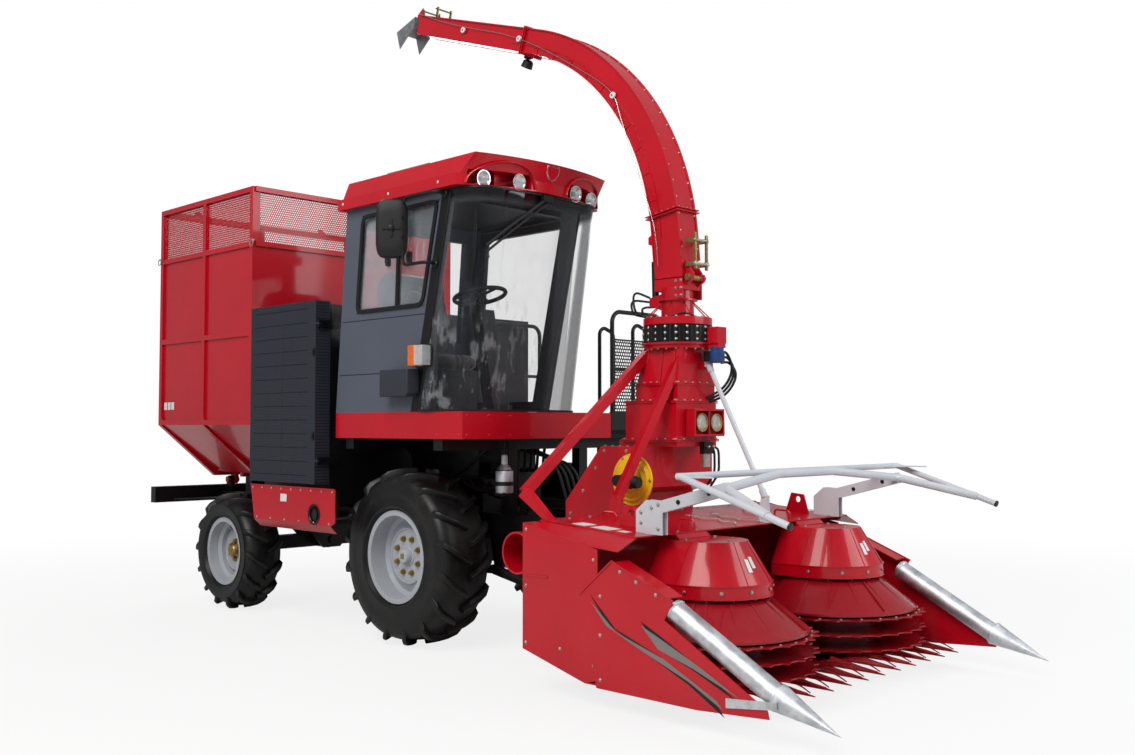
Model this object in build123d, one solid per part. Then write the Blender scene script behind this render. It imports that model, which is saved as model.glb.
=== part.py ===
from build123d import *
import math
import os

# Self-propelled forage harvester: row-independent header with two drums, blower tower with a
# turning spout, cab, and a tipping crop tank over the rear axle.
# +X is forward, +Y is left, +Z is up. x is measured from the front axle and z from the ground
# while modelling; every piece is moved by -CENTRE_X when it is written.

# Whole machine
FRONT_REACH = 3840
REAR_REACH = 3730
CENTRE_X = (FRONT_REACH - REAR_REACH) / 2
FIT = 0.3
PIN_GAP = 2
RUN_GAP = 6
SHEET = 8

# Wheels
FRONT_TYRE_R = 650
FRONT_HUB_Z = FRONT_TYRE_R
FRONT_TYRE_WIDTH = 450
FRONT_RIM_R = 340
FRONT_WHEEL_Y = 805
REAR_AXLE_X = -2450
REAR_TYRE_R = 510
REAR_HUB_Z = REAR_TYRE_R
REAR_TYRE_WIDTH = 350
REAR_RIM_R = 295
REAR_WHEEL_Y = 880
LUG_HEIGHT = 42
BEAD = 40
LUG_THICK = 44
LUG_SWEEP = 38
FRONT_LUGS = 16
REAR_LUGS = 14
SPINDLE_R = 45
KINGPIN_Y = 600
KINGPIN_R = 22
BOSS_R = 46

# Chassis
RAIL_TOP = 960
RAIL_DEPTH = 160
RAIL_WIDTH = 90
RAIL_Y = 330
RAIL_FRONT = 1060
BOLSTER_X = (REAR_AXLE_X + 200, -REAR_REACH + 580)
BUMPER_X = 90
BUMPER_BOTTOM = 880
BUMPER_TOP = 1050
BUMPER_HALF = 1090
WALL = 12

# Engine bay
ENGINE_X = (-1600, -840)
ENGINE_HALF = 420
ENGINE_TOP = 1800
BAY_REAR = -1720
BAY_FRONT = -760
BAY_TOP = 2560
BAY_HALF = 1060
SCREEN_BOTTOM = 1160
SCREEN_TOP = 2580
SCREEN_DEPTH = 130
SCREEN_OUT = 1200
LOUVRES = 12
SCREEN_HINGES = (SCREEN_BOTTOM + 150, SCREEN_TOP - 210)
SKIRT_REAR = -1700
SKIRT_FRONT = -480
SKIRT_TOP = 1130
SKIRT_BOTTOM = 790
EXHAUST_X = -760
EXHAUST_Z = 930
EXHAUST_R = 64

# Cab
CAB_RIGHT = -1090
CAB_LEFT = 200
CAB_WALL = 50
FLOOR_REAR = -640
FLOOR_FRONT = 860
FLOOR_BOTTOM = 1517
FLOOR_TOP = 1707
CAB_TOP = 3250
REAR_LEAN = 130
PILLAR_BOTTOM_X = 370
PILLAR_TOP_X = 720
PILLAR_WIDTH = 80
WINDOW_BOTTOM = 2450
WINDOW_TOP = 3190
DOOR_SILL = 1730
DOOR_HINGES = (1950, 3000)
GLASS = 6
ROOF_REAR = -550
ROOF_FRONT = 1090
ROOF_FLANGE = 80
ROOF_TOP = 3460
ROOF_OVERHANG = 60
CAB_MID = (CAB_RIGHT + CAB_LEFT) / 2
# Lamp recesses in the roof's front: near edge, far edge, back wall x, lamp offset
ROOF_POCKETS = ((180, 420, 925, 280), (420, 640, 845, 535))
PLATFORM_LEFT = 1090
MIRROR_TOP = 3225
MIRROR_LOW = 2745

# Tank
TANK_REAR = -REAR_REACH + 130
TANK_FRONT = -1910
TANK_HALF = 1070
TANK_TOP = 3660
TANK_MESH = 3145
TANK_MID = 2378
TANK_SIDE_BOTTOM = 1617
TANK_BOTTOM = 1165
TANK_FLOOR_HALF = 500
TANK_SHEET = 16
TANK_RIB = 40
TIP_X = -REAR_REACH + 170
TIP_Z = 1080
TIP_PIN_R = 30
GATE_X = TANK_REAR - 26
GATE_Z = TANK_TOP + 36
GATE_EAR_Y = 690

# Cylinders: base and eye as (x, z)
CYLINDER_Y = 470
CYLINDER_PIN_R = 16
TANK_BASE = (-REAR_REACH + 630, 870)
TANK_EYE = (-1980, 1075)
LIFT_BASE = (480, 560)
LIFT_EYE = (1480, 380)
FOLD_BASE = (1650, 2470)
FOLD_EYE = (1640, 2900)

# Header
PIVOT_X = 1230
PIVOT_Z = 700
PIVOT_R = 32
TUBE_X = 1430
TUBE_Z = 800
TUBE_R = 135
HEADER_REAR = 1680
HEADER_BOTTOM = 260
HEADER_TOP = 1040
DECK_FRONT = 2460
DECK_FRONT_Z = 965
SIDE_HALF = 1300
FLARE = 150
TUBE_INSET = 180
DECK_HALF = SIDE_HALF - FLARE
TUBE_HALF = SIDE_HALF - TUBE_INSET
DRUM_X = 2620
DRUM_PIN_R = 34
DRUM_SIDE_GAP = 34
DRUM_MID_GAP = 22
DRUM_Y = (SIDE_HALF - SHEET - DRUM_SIDE_GAP + DRUM_MID_GAP) / 2
DRUM_TOP_Z = 615
DRUM_RIM_Z = 430
DRUM_TOP_R = 330
DISC_R = DRUM_Y - DRUM_MID_GAP
DISC_REACH = 58
DRUM_RIM_R = DISC_R - DISC_REACH
DISC_TEETH = 28
DISC_DEPTH = 34
DISC_THICK = 8
DISC_LEVELS = (395, 300, 205)
COVER_SKIRT_R = 352
COVER_TOP_R = 210
COVER_BOTTOM = 625
COVER_SKIRT_TOP = 700
COVER_TOP = 935
NOSE_R = 60
FINGER_TIP_X = 3330
FINGER_TIP_Z = 130
EAR_X = 2215
EAR_Y = 900
EAR_Z = 1085
EAR_R = 22
FINGER_PITCH = 190
FINGER_INSET = 160
FINGER_COUNT = round(2 * (SIDE_HALF - FINGER_INSET) / FINGER_PITCH)
FINGER_LENGTH = 360
PAN_Z = 130

# Tower and spout
CHOPPER_HALF = 370
TOWER_X = 1845
TOWER_FRONT = 2005
TOWER_HALF = 215
HOOD_Z = 1890
STAY_X = 2040
RING_R = 240
RING_BOTTOM = 2170
RING_TOP = 2290
SPOUT_WIDTH = 190
SPOUT_DEPTHS = (240, 180, 150)
FOLD_Z = 2610
HINGE_X = TOWER_X + 155
NECK_HEADING = 95
NECK_LENGTH = 330
BEND_RADIUS = 1880
BEND_ANGLE = 66
REACH_LENGTH = 1560
SPOUT_WALL = 8
FLAP_LENGTH = 300
FLAP_TILT = 35


def block(x, y, z):
    """A box from three (low, high) pairs."""
    size = (x[1] - x[0], y[1] - y[0], z[1] - z[0])
    return Pos((x[0] + x[1]) / 2, (y[0] + y[1]) / 2, (z[0] + z[1]) / 2) * Box(*size)


def prism(points, along):
    """A flat polygon pushed along a vector."""
    return Solid.extrude(Face(Wire.make_polygon([Vector(*p) for p in points])), Vector(*along))


def side_plate(outline, y0, y1):
    """An outline of (x, z) points in the side view, from y0 to y1."""
    return prism([(x, y0, z) for x, z in outline], (0, y1 - y0, 0))


def front_plate(outline, x0, x1):
    """An outline of (y, z) points in the front view, from x0 to x1."""
    return prism([(x0, y, z) for y, z in outline], (x1 - x0, 0, 0))


def top_plate(outline, z0, z1):
    """An outline of (x, y) points in the top view, from z0 to z1."""
    return prism([(x, y, z0) for x, y in outline], (0, 0, z1 - z0))


def rod(start, end, radius):
    """A round bar between two points."""
    a, b = Vector(*start), Vector(*end)
    return Solid.make_cylinder(radius, (b - a).length, Plane(a, z_dir=b - a))


def bar(start, end, width, depth):
    """A rectangular bar between two points, its width kept level."""
    a, b = Vector(*start), Vector(*end)
    run = b - a
    level = Vector(0, 0, 1).cross(run)
    level = level if level.length > 1 else Vector(0, 1, 0)
    plane = Plane(a, x_dir=level, z_dir=run)
    return extrude(plane * Rectangle(width, depth), run.length)


def bent_tube(points, radius, bends):
    """A round tube along straight runs with arcs at the corners."""
    path = FilletPolyline(*[Vector(*p) for p in points], radius=bends)
    return sweep(Plane(path @ 0, z_dir=path % 0) * Circle(radius), path)


def mirror_y(solid):
    return mirror(solid, about=Plane.XZ)


def both_sides(solid):
    return [solid, mirror_y(solid)]


def turned(profile, centre_x, centre_z):
    """A closed (y, radius) profile turned about a level axis across the machine."""
    face = Face(Wire.make_polygon([Vector(centre_x, y, centre_z + r) for y, r in profile]))
    return revolve(face, Axis((centre_x, 0, centre_z), (0, 1, 0)))


def upright(profile, centre_x, centre_y):
    """A closed (radius, z) profile turned about an upright axis."""
    face = Face(Wire.make_polygon([Vector(centre_x + r, centre_y, z) for r, z in profile]))
    return revolve(face, Axis((centre_x, centre_y, 0), (0, 0, 1)))


def lugged_tyre(hub_x, hub_z, wheel_y, radius, width, rim_r, lugs):
    """Left tyre: a turned carcass with two rows of slanted lugs fused to it."""
    half = width / 2
    tread = radius - LUG_HEIGHT
    seat = rim_r - 28
    carcass = turned([
        (wheel_y - half + BEAD, seat), (wheel_y + half - BEAD, seat),
        (wheel_y + half - BEAD, rim_r + 2), (wheel_y + half - 6, rim_r + 20), (wheel_y + half, (rim_r + tread) / 2 + 10),
        (wheel_y + half - 30, tread - 22), (wheel_y + half - 110, tread),
        (wheel_y - half + 110, tread), (wheel_y - half + 30, tread - 22),
        (wheel_y - half, (rim_r + tread) / 2 + 10), (wheel_y - half + 6, rim_r + 20),
        (wheel_y - half + BEAD, rim_r + 2),
    ], hub_x, hub_z)
    reach = (half - 12) / math.cos(math.radians(LUG_SWEEP))
    fall = (reach * math.sin(math.radians(LUG_SWEEP))) ** 2 / (2 * radius)
    section = [(8, tread - 30), (8, radius), (reach * 0.5, radius - fall * 0.4),
               (reach - 26, radius - fall - 8), (reach, radius - fall - 60), (reach - 12, tread - 60)]
    solids = [carcass]
    for row in (1, -1):
        lug = prism([(-LUG_THICK / 2, y, r) for y, r in section], (LUG_THICK, 0, 0))
        lug = Rot(0, 0, LUG_SWEEP) * lug
        if row < 0:
            lug = mirror_y(lug)
        for n in range(lugs):
            angle = 360 * (n + (0.5 if row < 0 else 0)) / lugs
            solids.append(Pos(hub_x, wheel_y, hub_z) * Rot(0, angle, 0) * lug)
    return solids[0].fuse(*solids[1:])


def dished_rim(hub_x, hub_z, wheel_y, width, rim_r, disc_y, hub_r, hub_inner, bolts):
    """Left wheel: barrel with two flanges, a pressed disc, its hub and the wheel bolts."""
    half = width / 2 - BEAD + FIT
    seat = rim_r - 28 - FIT
    barrel = turned([
        (wheel_y - half, rim_r), (wheel_y - half - 8, rim_r), (wheel_y - half - 8, seat - 10),
        (wheel_y - 60, seat - 12), (wheel_y - 40, seat - 42), (wheel_y + 40, seat - 42),
        (wheel_y + 60, seat - 12), (wheel_y + half + 8, seat - 10), (wheel_y + half + 8, rim_r),
        (wheel_y + half, rim_r), (wheel_y + half, seat), (wheel_y + 70, seat),
        (wheel_y + 48, seat - 30), (wheel_y - 48, seat - 30), (wheel_y - 70, seat),
        (wheel_y - half, seat),
    ], hub_x, hub_z)
    disc = turned([
        (disc_y - 12, SPINDLE_R + FIT), (disc_y + 4, SPINDLE_R + FIT), (disc_y + 4, rim_r * 0.55),
        (disc_y - 30, rim_r * 0.8), (disc_y - 30, seat - 6), (disc_y - 42, seat - 6),
        (disc_y - 42, rim_r * 0.78), (disc_y - 12, rim_r * 0.53),
    ], hub_x, hub_z)
    hub = turned([
        (hub_inner, SPINDLE_R + FIT), (disc_y, SPINDLE_R + FIT), (disc_y, hub_r),
        (hub_inner, hub_r * 0.8),
    ], hub_x, hub_z)
    cap = turned([(disc_y - 6, 0), (disc_y + 55, 0), (disc_y + 55, SPINDLE_R),
                  (disc_y - 6, SPINDLE_R + 12)], hub_x, hub_z)
    solids = [barrel, disc, hub, cap]
    for n in range(bolts):
        angle = math.radians(360 * (n + 0.5) / bolts)
        x = hub_x + hub_r * 0.82 * math.cos(angle)
        z = hub_z + hub_r * 0.82 * math.sin(angle)
        solids.append(rod((x, disc_y - 14, z), (x, disc_y + 30, z), 12))
    return solids[0].fuse(*solids[1:])


def front_wheels():
    tyre = lugged_tyre(0, FRONT_HUB_Z, FRONT_WHEEL_Y, FRONT_TYRE_R, FRONT_TYRE_WIDTH,
                       FRONT_RIM_R, FRONT_LUGS)
    rim = dished_rim(0, FRONT_HUB_Z, FRONT_WHEEL_Y, FRONT_TYRE_WIDTH, FRONT_RIM_R,
                     FRONT_WHEEL_Y + 70, 160, FRONT_WHEEL_Y - 180, 8)
    return {"front_tyre_left": tyre, "front_tyre_right": mirror_y(tyre),
            "front_rim_left": rim, "front_rim_right": mirror_y(rim)}


def rear_wheels():
    tyre = lugged_tyre(REAR_AXLE_X, REAR_HUB_Z, REAR_WHEEL_Y, REAR_TYRE_R, REAR_TYRE_WIDTH,
                       REAR_RIM_R, REAR_LUGS)
    rim = dished_rim(REAR_AXLE_X, REAR_HUB_Z, REAR_WHEEL_Y, REAR_TYRE_WIDTH, REAR_RIM_R,
                     REAR_WHEEL_Y + 20, 95, REAR_WHEEL_Y - 130, 6)
    return {"rear_tyre_left": tyre, "rear_tyre_right": mirror_y(tyre),
            "rear_rim_left": rim, "rear_rim_right": mirror_y(rim)}


def front_axle():
    """Driven front axle: beam bolted under the rails, final drives and the two spindles."""
    drive_y = FRONT_WHEEL_Y - FRONT_TYRE_WIDTH / 2 - 20
    beam = block((-110, 110), (-drive_y + 90, drive_y - 90), (FRONT_HUB_Z - 90, FRONT_HUB_Z + 90))
    saddle = block((-110, 110), (RAIL_Y, RAIL_Y + RAIL_WIDTH),
                   (FRONT_HUB_Z + 80, RAIL_TOP - RAIL_DEPTH - FIT))
    drive = turned([(drive_y - 110, 0), (drive_y, 0), (drive_y, 150), (drive_y - 110, 170)],
                   0, FRONT_HUB_Z)
    spindle = rod((0, drive_y - 20, FRONT_HUB_Z), (0, FRONT_WHEEL_Y + 56, FRONT_HUB_Z), SPINDLE_R)
    parts = both_sides(saddle) + both_sides(drive) + both_sides(spindle)
    return beam.fuse(*parts)


def rear_axle():
    """Rear axle beam with its centre pivot, kingpin bosses, and the pin's hanger plates."""
    z = REAR_HUB_Z + 40
    beam = block((REAR_AXLE_X - 55, REAR_AXLE_X + 55), (-KINGPIN_Y, KINGPIN_Y), (z - 60, z + 60))
    boss = rod((REAR_AXLE_X, KINGPIN_Y, REAR_HUB_Z - 90), (REAR_AXLE_X, KINGPIN_Y, REAR_HUB_Z + 130),
               BOSS_R)
    bore = rod((REAR_AXLE_X, KINGPIN_Y, 0), (REAR_AXLE_X, KINGPIN_Y, 900), KINGPIN_R + FIT)
    centre = rod((REAR_AXLE_X - 90, 0, z), (REAR_AXLE_X + 90, 0, z), 80)
    pin = rod((REAR_AXLE_X - 170, 0, z), (REAR_AXLE_X + 170, 0, z), 35)
    beam = beam.fuse(*both_sides(boss), centre, pin)
    return beam.cut(*both_sides(bore))


def rear_knuckle():
    """Left knuckle: fork above and below the boss, kingpin, spindle and steering arm."""
    low, high = REAR_HUB_Z - 90 - PIN_GAP, REAR_HUB_Z + 130 + PIN_GAP
    x, y = REAR_AXLE_X, KINGPIN_Y
    inner = y + BOSS_R + RUN_GAP
    parts = [
        block((x - 45, x + 45), (y - 40, inner + 26), (low - 22, low)),
        block((x - 45, x + 45), (y - 40, inner + 26), (high, high + 22)),
        rod((x, y, low - 10), (x, y, high + 10), KINGPIN_R),
        rod((x, inner + 10, REAR_HUB_Z), (x, REAR_WHEEL_Y + 6, REAR_HUB_Z), SPINDLE_R),
        block((x - 250, x - 20), (y - 40, y - 6), (low - 22, low)),
    ]
    body = block((x - 45, x + 45), (inner, inner + 26), (low - 22, high + 22))
    return body.fuse(*parts)


def main_frame():
    """Two rails, cross members, rear axle hanger, tank bolsters and the header pivot arms."""
    rail_z = (RAIL_TOP - RAIL_DEPTH, RAIL_TOP)
    rear = -REAR_REACH + BUMPER_X + FIT
    rail_y = (RAIL_Y, RAIL_Y + RAIL_WIDTH)
    hollow = block((rear + WALL, RAIL_FRONT - WALL), (rail_y[0] + WALL, rail_y[1] - WALL),
                   (rail_z[0] + WALL, rail_z[1] - WALL))
    rail = block((rear, RAIL_FRONT), rail_y, rail_z).cut(hollow)
    cross = [block((x, x + 80), (-RAIL_Y, RAIL_Y), (rail_z[0] + 10, rail_z[1] - 10))
             for x in (rear, -REAR_REACH + 730, REAR_AXLE_X + 470, -600, 300, RAIL_FRONT - 90)]
    hanger_z = REAR_HUB_Z + 40
    hangers = []
    for x in (REAR_AXLE_X - 150, REAR_AXLE_X + 125):
        plate = front_plate([(-RAIL_Y - 60, rail_z[0]), (RAIL_Y + 60, rail_z[0]),
                             (90, hanger_z - 70), (-90, hanger_z - 70)], x, x + 25)
        hangers.append(plate.cut(rod((x - 20, 0, hanger_z), (x + 60, 0, hanger_z), 35 + FIT)))
    bolster = [block((x, x + 120), (-RAIL_Y - RAIL_WIDTH, RAIL_Y + RAIL_WIDTH),
                     (RAIL_TOP, TANK_BOTTOM - TANK_RIB - FIT)) for x in BOLSTER_X]
    tip_lug = side_plate([(TIP_X - 70, RAIL_TOP - 20), (TIP_X + 70, RAIL_TOP - 20), (TIP_X + 38, TIP_Z),
                          (TIP_X + 28, TIP_Z + 28), (TIP_X + 12, TIP_Z + 38), (TIP_X - 12, TIP_Z + 38),
                          (TIP_X - 28, TIP_Z + 28), (TIP_X - 38, TIP_Z)], RAIL_Y, RAIL_Y + 40)
    tip_bore = rod((TIP_X, 0, TIP_Z), (TIP_X, 900, TIP_Z), TIP_PIN_R + FIT)
    arm = side_plate([(RAIL_FRONT - 160, RAIL_TOP), (RAIL_FRONT, RAIL_TOP), (PIVOT_X + 20, PIVOT_Z + 100),
                      (PIVOT_X + 60, PIVOT_Z + 40), (PIVOT_X + 60, PIVOT_Z - 60), (PIVOT_X - 60, PIVOT_Z - 80),
                      (RAIL_FRONT - 160, 780)],
                     RAIL_Y + 60, RAIL_Y + RAIL_WIDTH)
    arm_bore = rod((PIVOT_X, 0, PIVOT_Z), (PIVOT_X, 900, PIVOT_Z), PIVOT_R + FIT)
    arm = arm.cut(arm_bore)
    tip_lug = tip_lug.cut(tip_bore)
    parts = [mirror_y(rail)] + cross + hangers + bolster + both_sides(tip_lug) + both_sides(arm)
    hang = side_plate([(LIFT_BASE[0] - 90, rail_z[0] + 10), (LIFT_BASE[0] + 90, rail_z[0] + 10),
                       (LIFT_BASE[0] + 34, LIFT_BASE[1] - 34), (LIFT_BASE[0] - 34, LIFT_BASE[1] - 34)],
                      RAIL_Y + RAIL_WIDTH - 30, RAIL_Y + RAIL_WIDTH)
    parts += both_sides(hang)
    for x, z in (TANK_BASE, LIFT_BASE):
        parts += both_sides(rod((x, RAIL_Y + RAIL_WIDTH - 20, z), (x, CYLINDER_Y + 46, z), CYLINDER_PIN_R))
        parts += both_sides(rod((x, CYLINDER_Y + 42, z), (x, CYLINDER_Y + 50, z), CYLINDER_PIN_R + 12))
    return rail.fuse(*parts)


def rear_bumper():
    """Boxed cross beam behind the tank with its gussets."""
    x = (-REAR_REACH, -REAR_REACH + BUMPER_X)
    beam = block(x, (-BUMPER_HALF, BUMPER_HALF), (BUMPER_BOTTOM, BUMPER_TOP - 20))
    inner = block((x[0] + WALL, x[1] - WALL), (-BUMPER_HALF + WALL, BUMPER_HALF - WALL),
                  (BUMPER_BOTTOM + WALL, BUMPER_TOP - 20 - WALL))
    beam = beam.cut(inner)
    inner_y = RAIL_Y + RAIL_WIDTH + 50
    gusset = top_plate([(x[1], inner_y), (x[1], BUMPER_HALF - 190), (x[1] + 240, inner_y)],
                       BUMPER_BOTTOM + 20, BUMPER_BOTTOM + 35)
    post = side_plate([(x[1], BUMPER_BOTTOM - 260), (x[1], BUMPER_BOTTOM), (x[0], BUMPER_BOTTOM),
                       (x[0], BUMPER_BOTTOM - 180)], -25, 25)
    hole = rod((x[0] + BUMPER_X / 2, -40, BUMPER_BOTTOM - 120), (x[0] + BUMPER_X / 2, 40, BUMPER_BOTTOM - 120), 20)
    link = block((x[1], x[1] + 240), (RAIL_Y + RAIL_WIDTH + FIT, inner_y + 10), (BUMPER_BOTTOM, BUMPER_BOTTOM + 35))
    return beam.fuse(post.cut(hole), *both_sides(gusset), *both_sides(link))


def engine():
    return block(ENGINE_X, (-ENGINE_HALF, ENGINE_HALF), (RAIL_TOP, ENGINE_TOP))


def engine_bay():
    """Sheet housing between cab and tank, open below and to the right behind the screen."""
    z0 = RAIL_TOP + 30
    outer = block((BAY_REAR, BAY_FRONT), (-BAY_HALF, BAY_HALF), (z0, BAY_TOP))
    inner = block((BAY_REAR + 30, BAY_FRONT - 30), (-BAY_HALF - 60, BAY_HALF - 30),
                  (z0 - 60, BAY_TOP - 30))
    shelf = block((BAY_REAR + 30, BAY_FRONT - 30), (RAIL_Y + RAIL_WIDTH, BAY_HALF - 30),
                  (z0, z0 + 20))
    sill = block((BAY_REAR + 30, BAY_FRONT - 30), (-BAY_HALF, -BAY_HALF + 60), (z0 + 50, SCREEN_BOTTOM))
    feet = [block((x, x + 60), (-RAIL_Y - 70, -RAIL_Y - 20), (RAIL_TOP, RAIL_TOP + 30))
            for x in (BAY_REAR, BAY_FRONT - 60)]
    feet += [mirror_y(f) for f in feet]
    bearers = [block((x, x + 30), (-BAY_HALF, BAY_HALF), (z0, z0 + 60))
               for x in (BAY_REAR, BAY_FRONT - 30)]
    return outer.cut(inner).fuse(shelf, sill, *feet, *bearers, *screen_hinges(), air_cleaner())


def radiator_core():
    """Radiator and coolers standing behind the dust screen."""
    y = -BAY_HALF + 30
    core = block((BAY_REAR + 90, BAY_FRONT - 90), (y, y + 130), (SCREEN_BOTTOM + 60, SCREEN_TOP - 120))
    feet = [block((x, x + 70), (y + 5, y + 125), (SCREEN_BOTTOM, SCREEN_BOTTOM + 60))
            for x in (BAY_REAR + 150, BAY_FRONT - 220)]
    return core.fuse(*feet)


def radiator_screen():
    """Swing-out dust screen: frame, slatted panel and side sheets, hinged at its front edge."""
    y0, y1 = -SCREEN_OUT, -BAY_HALF - RUN_GAP
    outer = block((BAY_REAR, BAY_FRONT), (y0, y1), (SCREEN_BOTTOM, SCREEN_TOP))
    inner = block((BAY_REAR + 45, BAY_FRONT - 45), (y0 + 30, y1 + 5),
                  (SCREEN_BOTTOM + 45, SCREEN_TOP - 45))
    case = outer.cut(inner)
    pitch = (SCREEN_TOP - SCREEN_BOTTOM - 120) / LOUVRES
    slots = [block((BAY_REAR + 70, BAY_FRONT - 110), (y0 - 5, y0 + 6),
                   (SCREEN_BOTTOM + 60 + n * pitch, SCREEN_BOTTOM + 64 + n * pitch))
             for n in range(LOUVRES + 1)]
    case = case.cut(*slots)
    for z in SCREEN_HINGES:
        leaf = block((BAY_FRONT - 2, BAY_FRONT + 14), (y0, y0 + 8), (z + 20 + PIN_GAP, z + 40 - PIN_GAP))
        eye = rod((BAY_FRONT + 14, y0 + 14, z + 20 + PIN_GAP), (BAY_FRONT + 14, y0 + 14, z + 40 - PIN_GAP), 17)
        bore = rod((BAY_FRONT + 14, y0 + 14, z), (BAY_FRONT + 14, y0 + 14, z + 60), 9 + FIT)
        case = case.fuse(leaf, eye).cut(bore)
    return case


def screen_hinges():
    """Fixed hinge leaves and pins of the dust screen."""
    parts = []
    for z in SCREEN_HINGES:
        pin = rod((BAY_FRONT + 14, -SCREEN_OUT + 14, z), (BAY_FRONT + 14, -SCREEN_OUT + 14, z + 60), 9)
        parts.append(pin)
        for low in (z, z + 40):
            parts.append(block((BAY_FRONT + 4, BAY_FRONT + 24), (-SCREEN_OUT + 10, -BAY_HALF + 40), (low, low + 20)))
        parts.append(block((BAY_FRONT + 4, BAY_FRONT + 24), (-BAY_HALF - 60, -BAY_HALF + 40), (z, z + 60)))
        parts.append(block((BAY_FRONT - 2, BAY_FRONT + 24), (-BAY_HALF, -BAY_HALF + 60), (z, z + 60)))
    return parts


def skirt_panels():
    """Lower side panels with a turned-in bottom; the right one has the exhaust opening."""
    outline = [(SKIRT_REAR, SKIRT_TOP), (SKIRT_FRONT, SKIRT_TOP), (SKIRT_FRONT, 880),
               (SKIRT_FRONT - 60, SKIRT_BOTTOM + 60), (SKIRT_REAR + 60, SKIRT_BOTTOM + 60)]
    panel = side_plate(outline, -SCREEN_OUT, -SCREEN_OUT + SHEET)
    lip = prism([(SKIRT_REAR + 60, -SCREEN_OUT, SKIRT_BOTTOM + 60),
                 (SKIRT_REAR + 60, -SCREEN_OUT + 60, SKIRT_BOTTOM),
                 (SKIRT_REAR + 60, -SCREEN_OUT + 68, SKIRT_BOTTOM),
                 (SKIRT_REAR + 60, -SCREEN_OUT + 8, SKIRT_BOTTOM + 60)],
                (SKIRT_FRONT - SKIRT_REAR - 120, 0, 0))
    stays = [block((x, x + 40), (-SCREEN_OUT + SHEET, -RAIL_Y - RAIL_WIDTH - FIT), (900, 940))
             for x in (-1560, -1180)]
    hole = rod((EXHAUST_X, -SCREEN_OUT - 100, EXHAUST_Z), (EXHAUST_X, -SCREEN_OUT + 100, EXHAUST_Z), EXHAUST_R)
    plain = panel.fuse(lip, *stays)
    return [plain.cut(hole), mirror_y(plain)]


def exhaust():
    """Exhaust pipe from the engine out to the opening in the right panel."""
    rear = EXHAUST_X - 250
    pipe = bent_tube([(rear, -ENGINE_HALF - FIT, 1060), (rear, -600, 1060), (rear, -760, EXHAUST_Z),
                      (EXHAUST_X, -900, EXHAUST_Z), (EXHAUST_X, -SCREEN_OUT + 2, EXHAUST_Z)],
                     EXHAUST_R - 14, 90)
    return pipe


def cab_floor():
    """Red floor pan of the cab: top plate with skirts all round."""
    outer = block((FLOOR_REAR, FLOOR_FRONT), (CAB_RIGHT, CAB_LEFT + 200), (FLOOR_BOTTOM, FLOOR_TOP))
    inner = block((FLOOR_REAR + 30, FLOOR_FRONT - 30), (CAB_RIGHT + 30, CAB_LEFT + 170),
                  (FLOOR_BOTTOM - 10, FLOOR_TOP - 30))
    return outer.cut(inner)


def cab_mounts():
    """Posts and cross beams that carry the cab and platform on the rails."""
    parts = []
    for x in (-560, 500):
        beam = block((x, x + 100), (CAB_RIGHT + 40, PLATFORM_LEFT - 20), (FLOOR_BOTTOM - 82, FLOOR_BOTTOM - 2))
        post = block((x + 10, x + 90), (RAIL_Y, RAIL_Y + RAIL_WIDTH), (RAIL_TOP, FLOOR_BOTTOM - 82))
        pad = block((x + 10, x + 90), (CAB_RIGHT + 10, CAB_RIGHT + 70), (FLOOR_BOTTOM - 4, FLOOR_BOTTOM))
        pad_in = block((x + 10, x + 90), (CAB_LEFT + 172, CAB_LEFT + 198), (FLOOR_BOTTOM - 4, FLOOR_BOTTOM))
        parts.append(beam.fuse(*both_sides(post), pad, pad_in))
    return parts


def rear_edge(z):
    return FLOOR_REAR + REAR_LEAN * (z - FLOOR_TOP) / (CAB_TOP - FLOOR_TOP)


def pillar_edge(z):
    return PILLAR_BOTTOM_X + (PILLAR_TOP_X - PILLAR_BOTTOM_X) * (z - FLOOR_TOP) / (CAB_TOP - FLOOR_TOP)


def cab_shell():
    """Right wall, rear wall and left rear post in one pressed shell with windows cut."""
    front = pillar_edge(FLOOR_TOP) - PILLAR_WIDTH - FIT, pillar_edge(CAB_TOP) - PILLAR_WIDTH - FIT
    right = side_plate([(FLOOR_REAR, FLOOR_TOP), (front[0], FLOOR_TOP), (front[1], CAB_TOP),
                        (FLOOR_REAR + REAR_LEAN, CAB_TOP)], CAB_RIGHT, CAB_RIGHT + CAB_WALL)
    window = side_plate([(-380, WINDOW_BOTTOM), (pillar_edge(WINDOW_BOTTOM) - 100, WINDOW_BOTTOM),
                         (pillar_edge(WINDOW_TOP) - 100, WINDOW_TOP), (-310, WINDOW_TOP)],
                        CAB_RIGHT - 10, CAB_RIGHT + CAB_WALL + 10)
    wall = [(FLOOR_REAR, FLOOR_TOP), (FLOOR_REAR + 50, FLOOR_TOP),
            (FLOOR_REAR + 50 + REAR_LEAN, CAB_TOP), (FLOOR_REAR + REAR_LEAN, CAB_TOP)]
    rear = side_plate(wall, CAB_RIGHT, CAB_LEFT)
    rear_window = block((FLOOR_REAR - 50, FLOOR_REAR + 250), (CAB_RIGHT + 140, CAB_LEFT - 140),
                        (WINDOW_BOTTOM - 150, WINDOW_TOP - 60))
    post = side_plate([(FLOOR_REAR, FLOOR_TOP), (FLOOR_REAR + 130, FLOOR_TOP),
                       (FLOOR_REAR + 130 + REAR_LEAN, CAB_TOP), (FLOOR_REAR + REAR_LEAN, CAB_TOP)],
                      CAB_LEFT - CAB_WALL, CAB_LEFT)
    return right.cut(window).fuse(rear.cut(rear_window), post, *door_pins())


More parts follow.
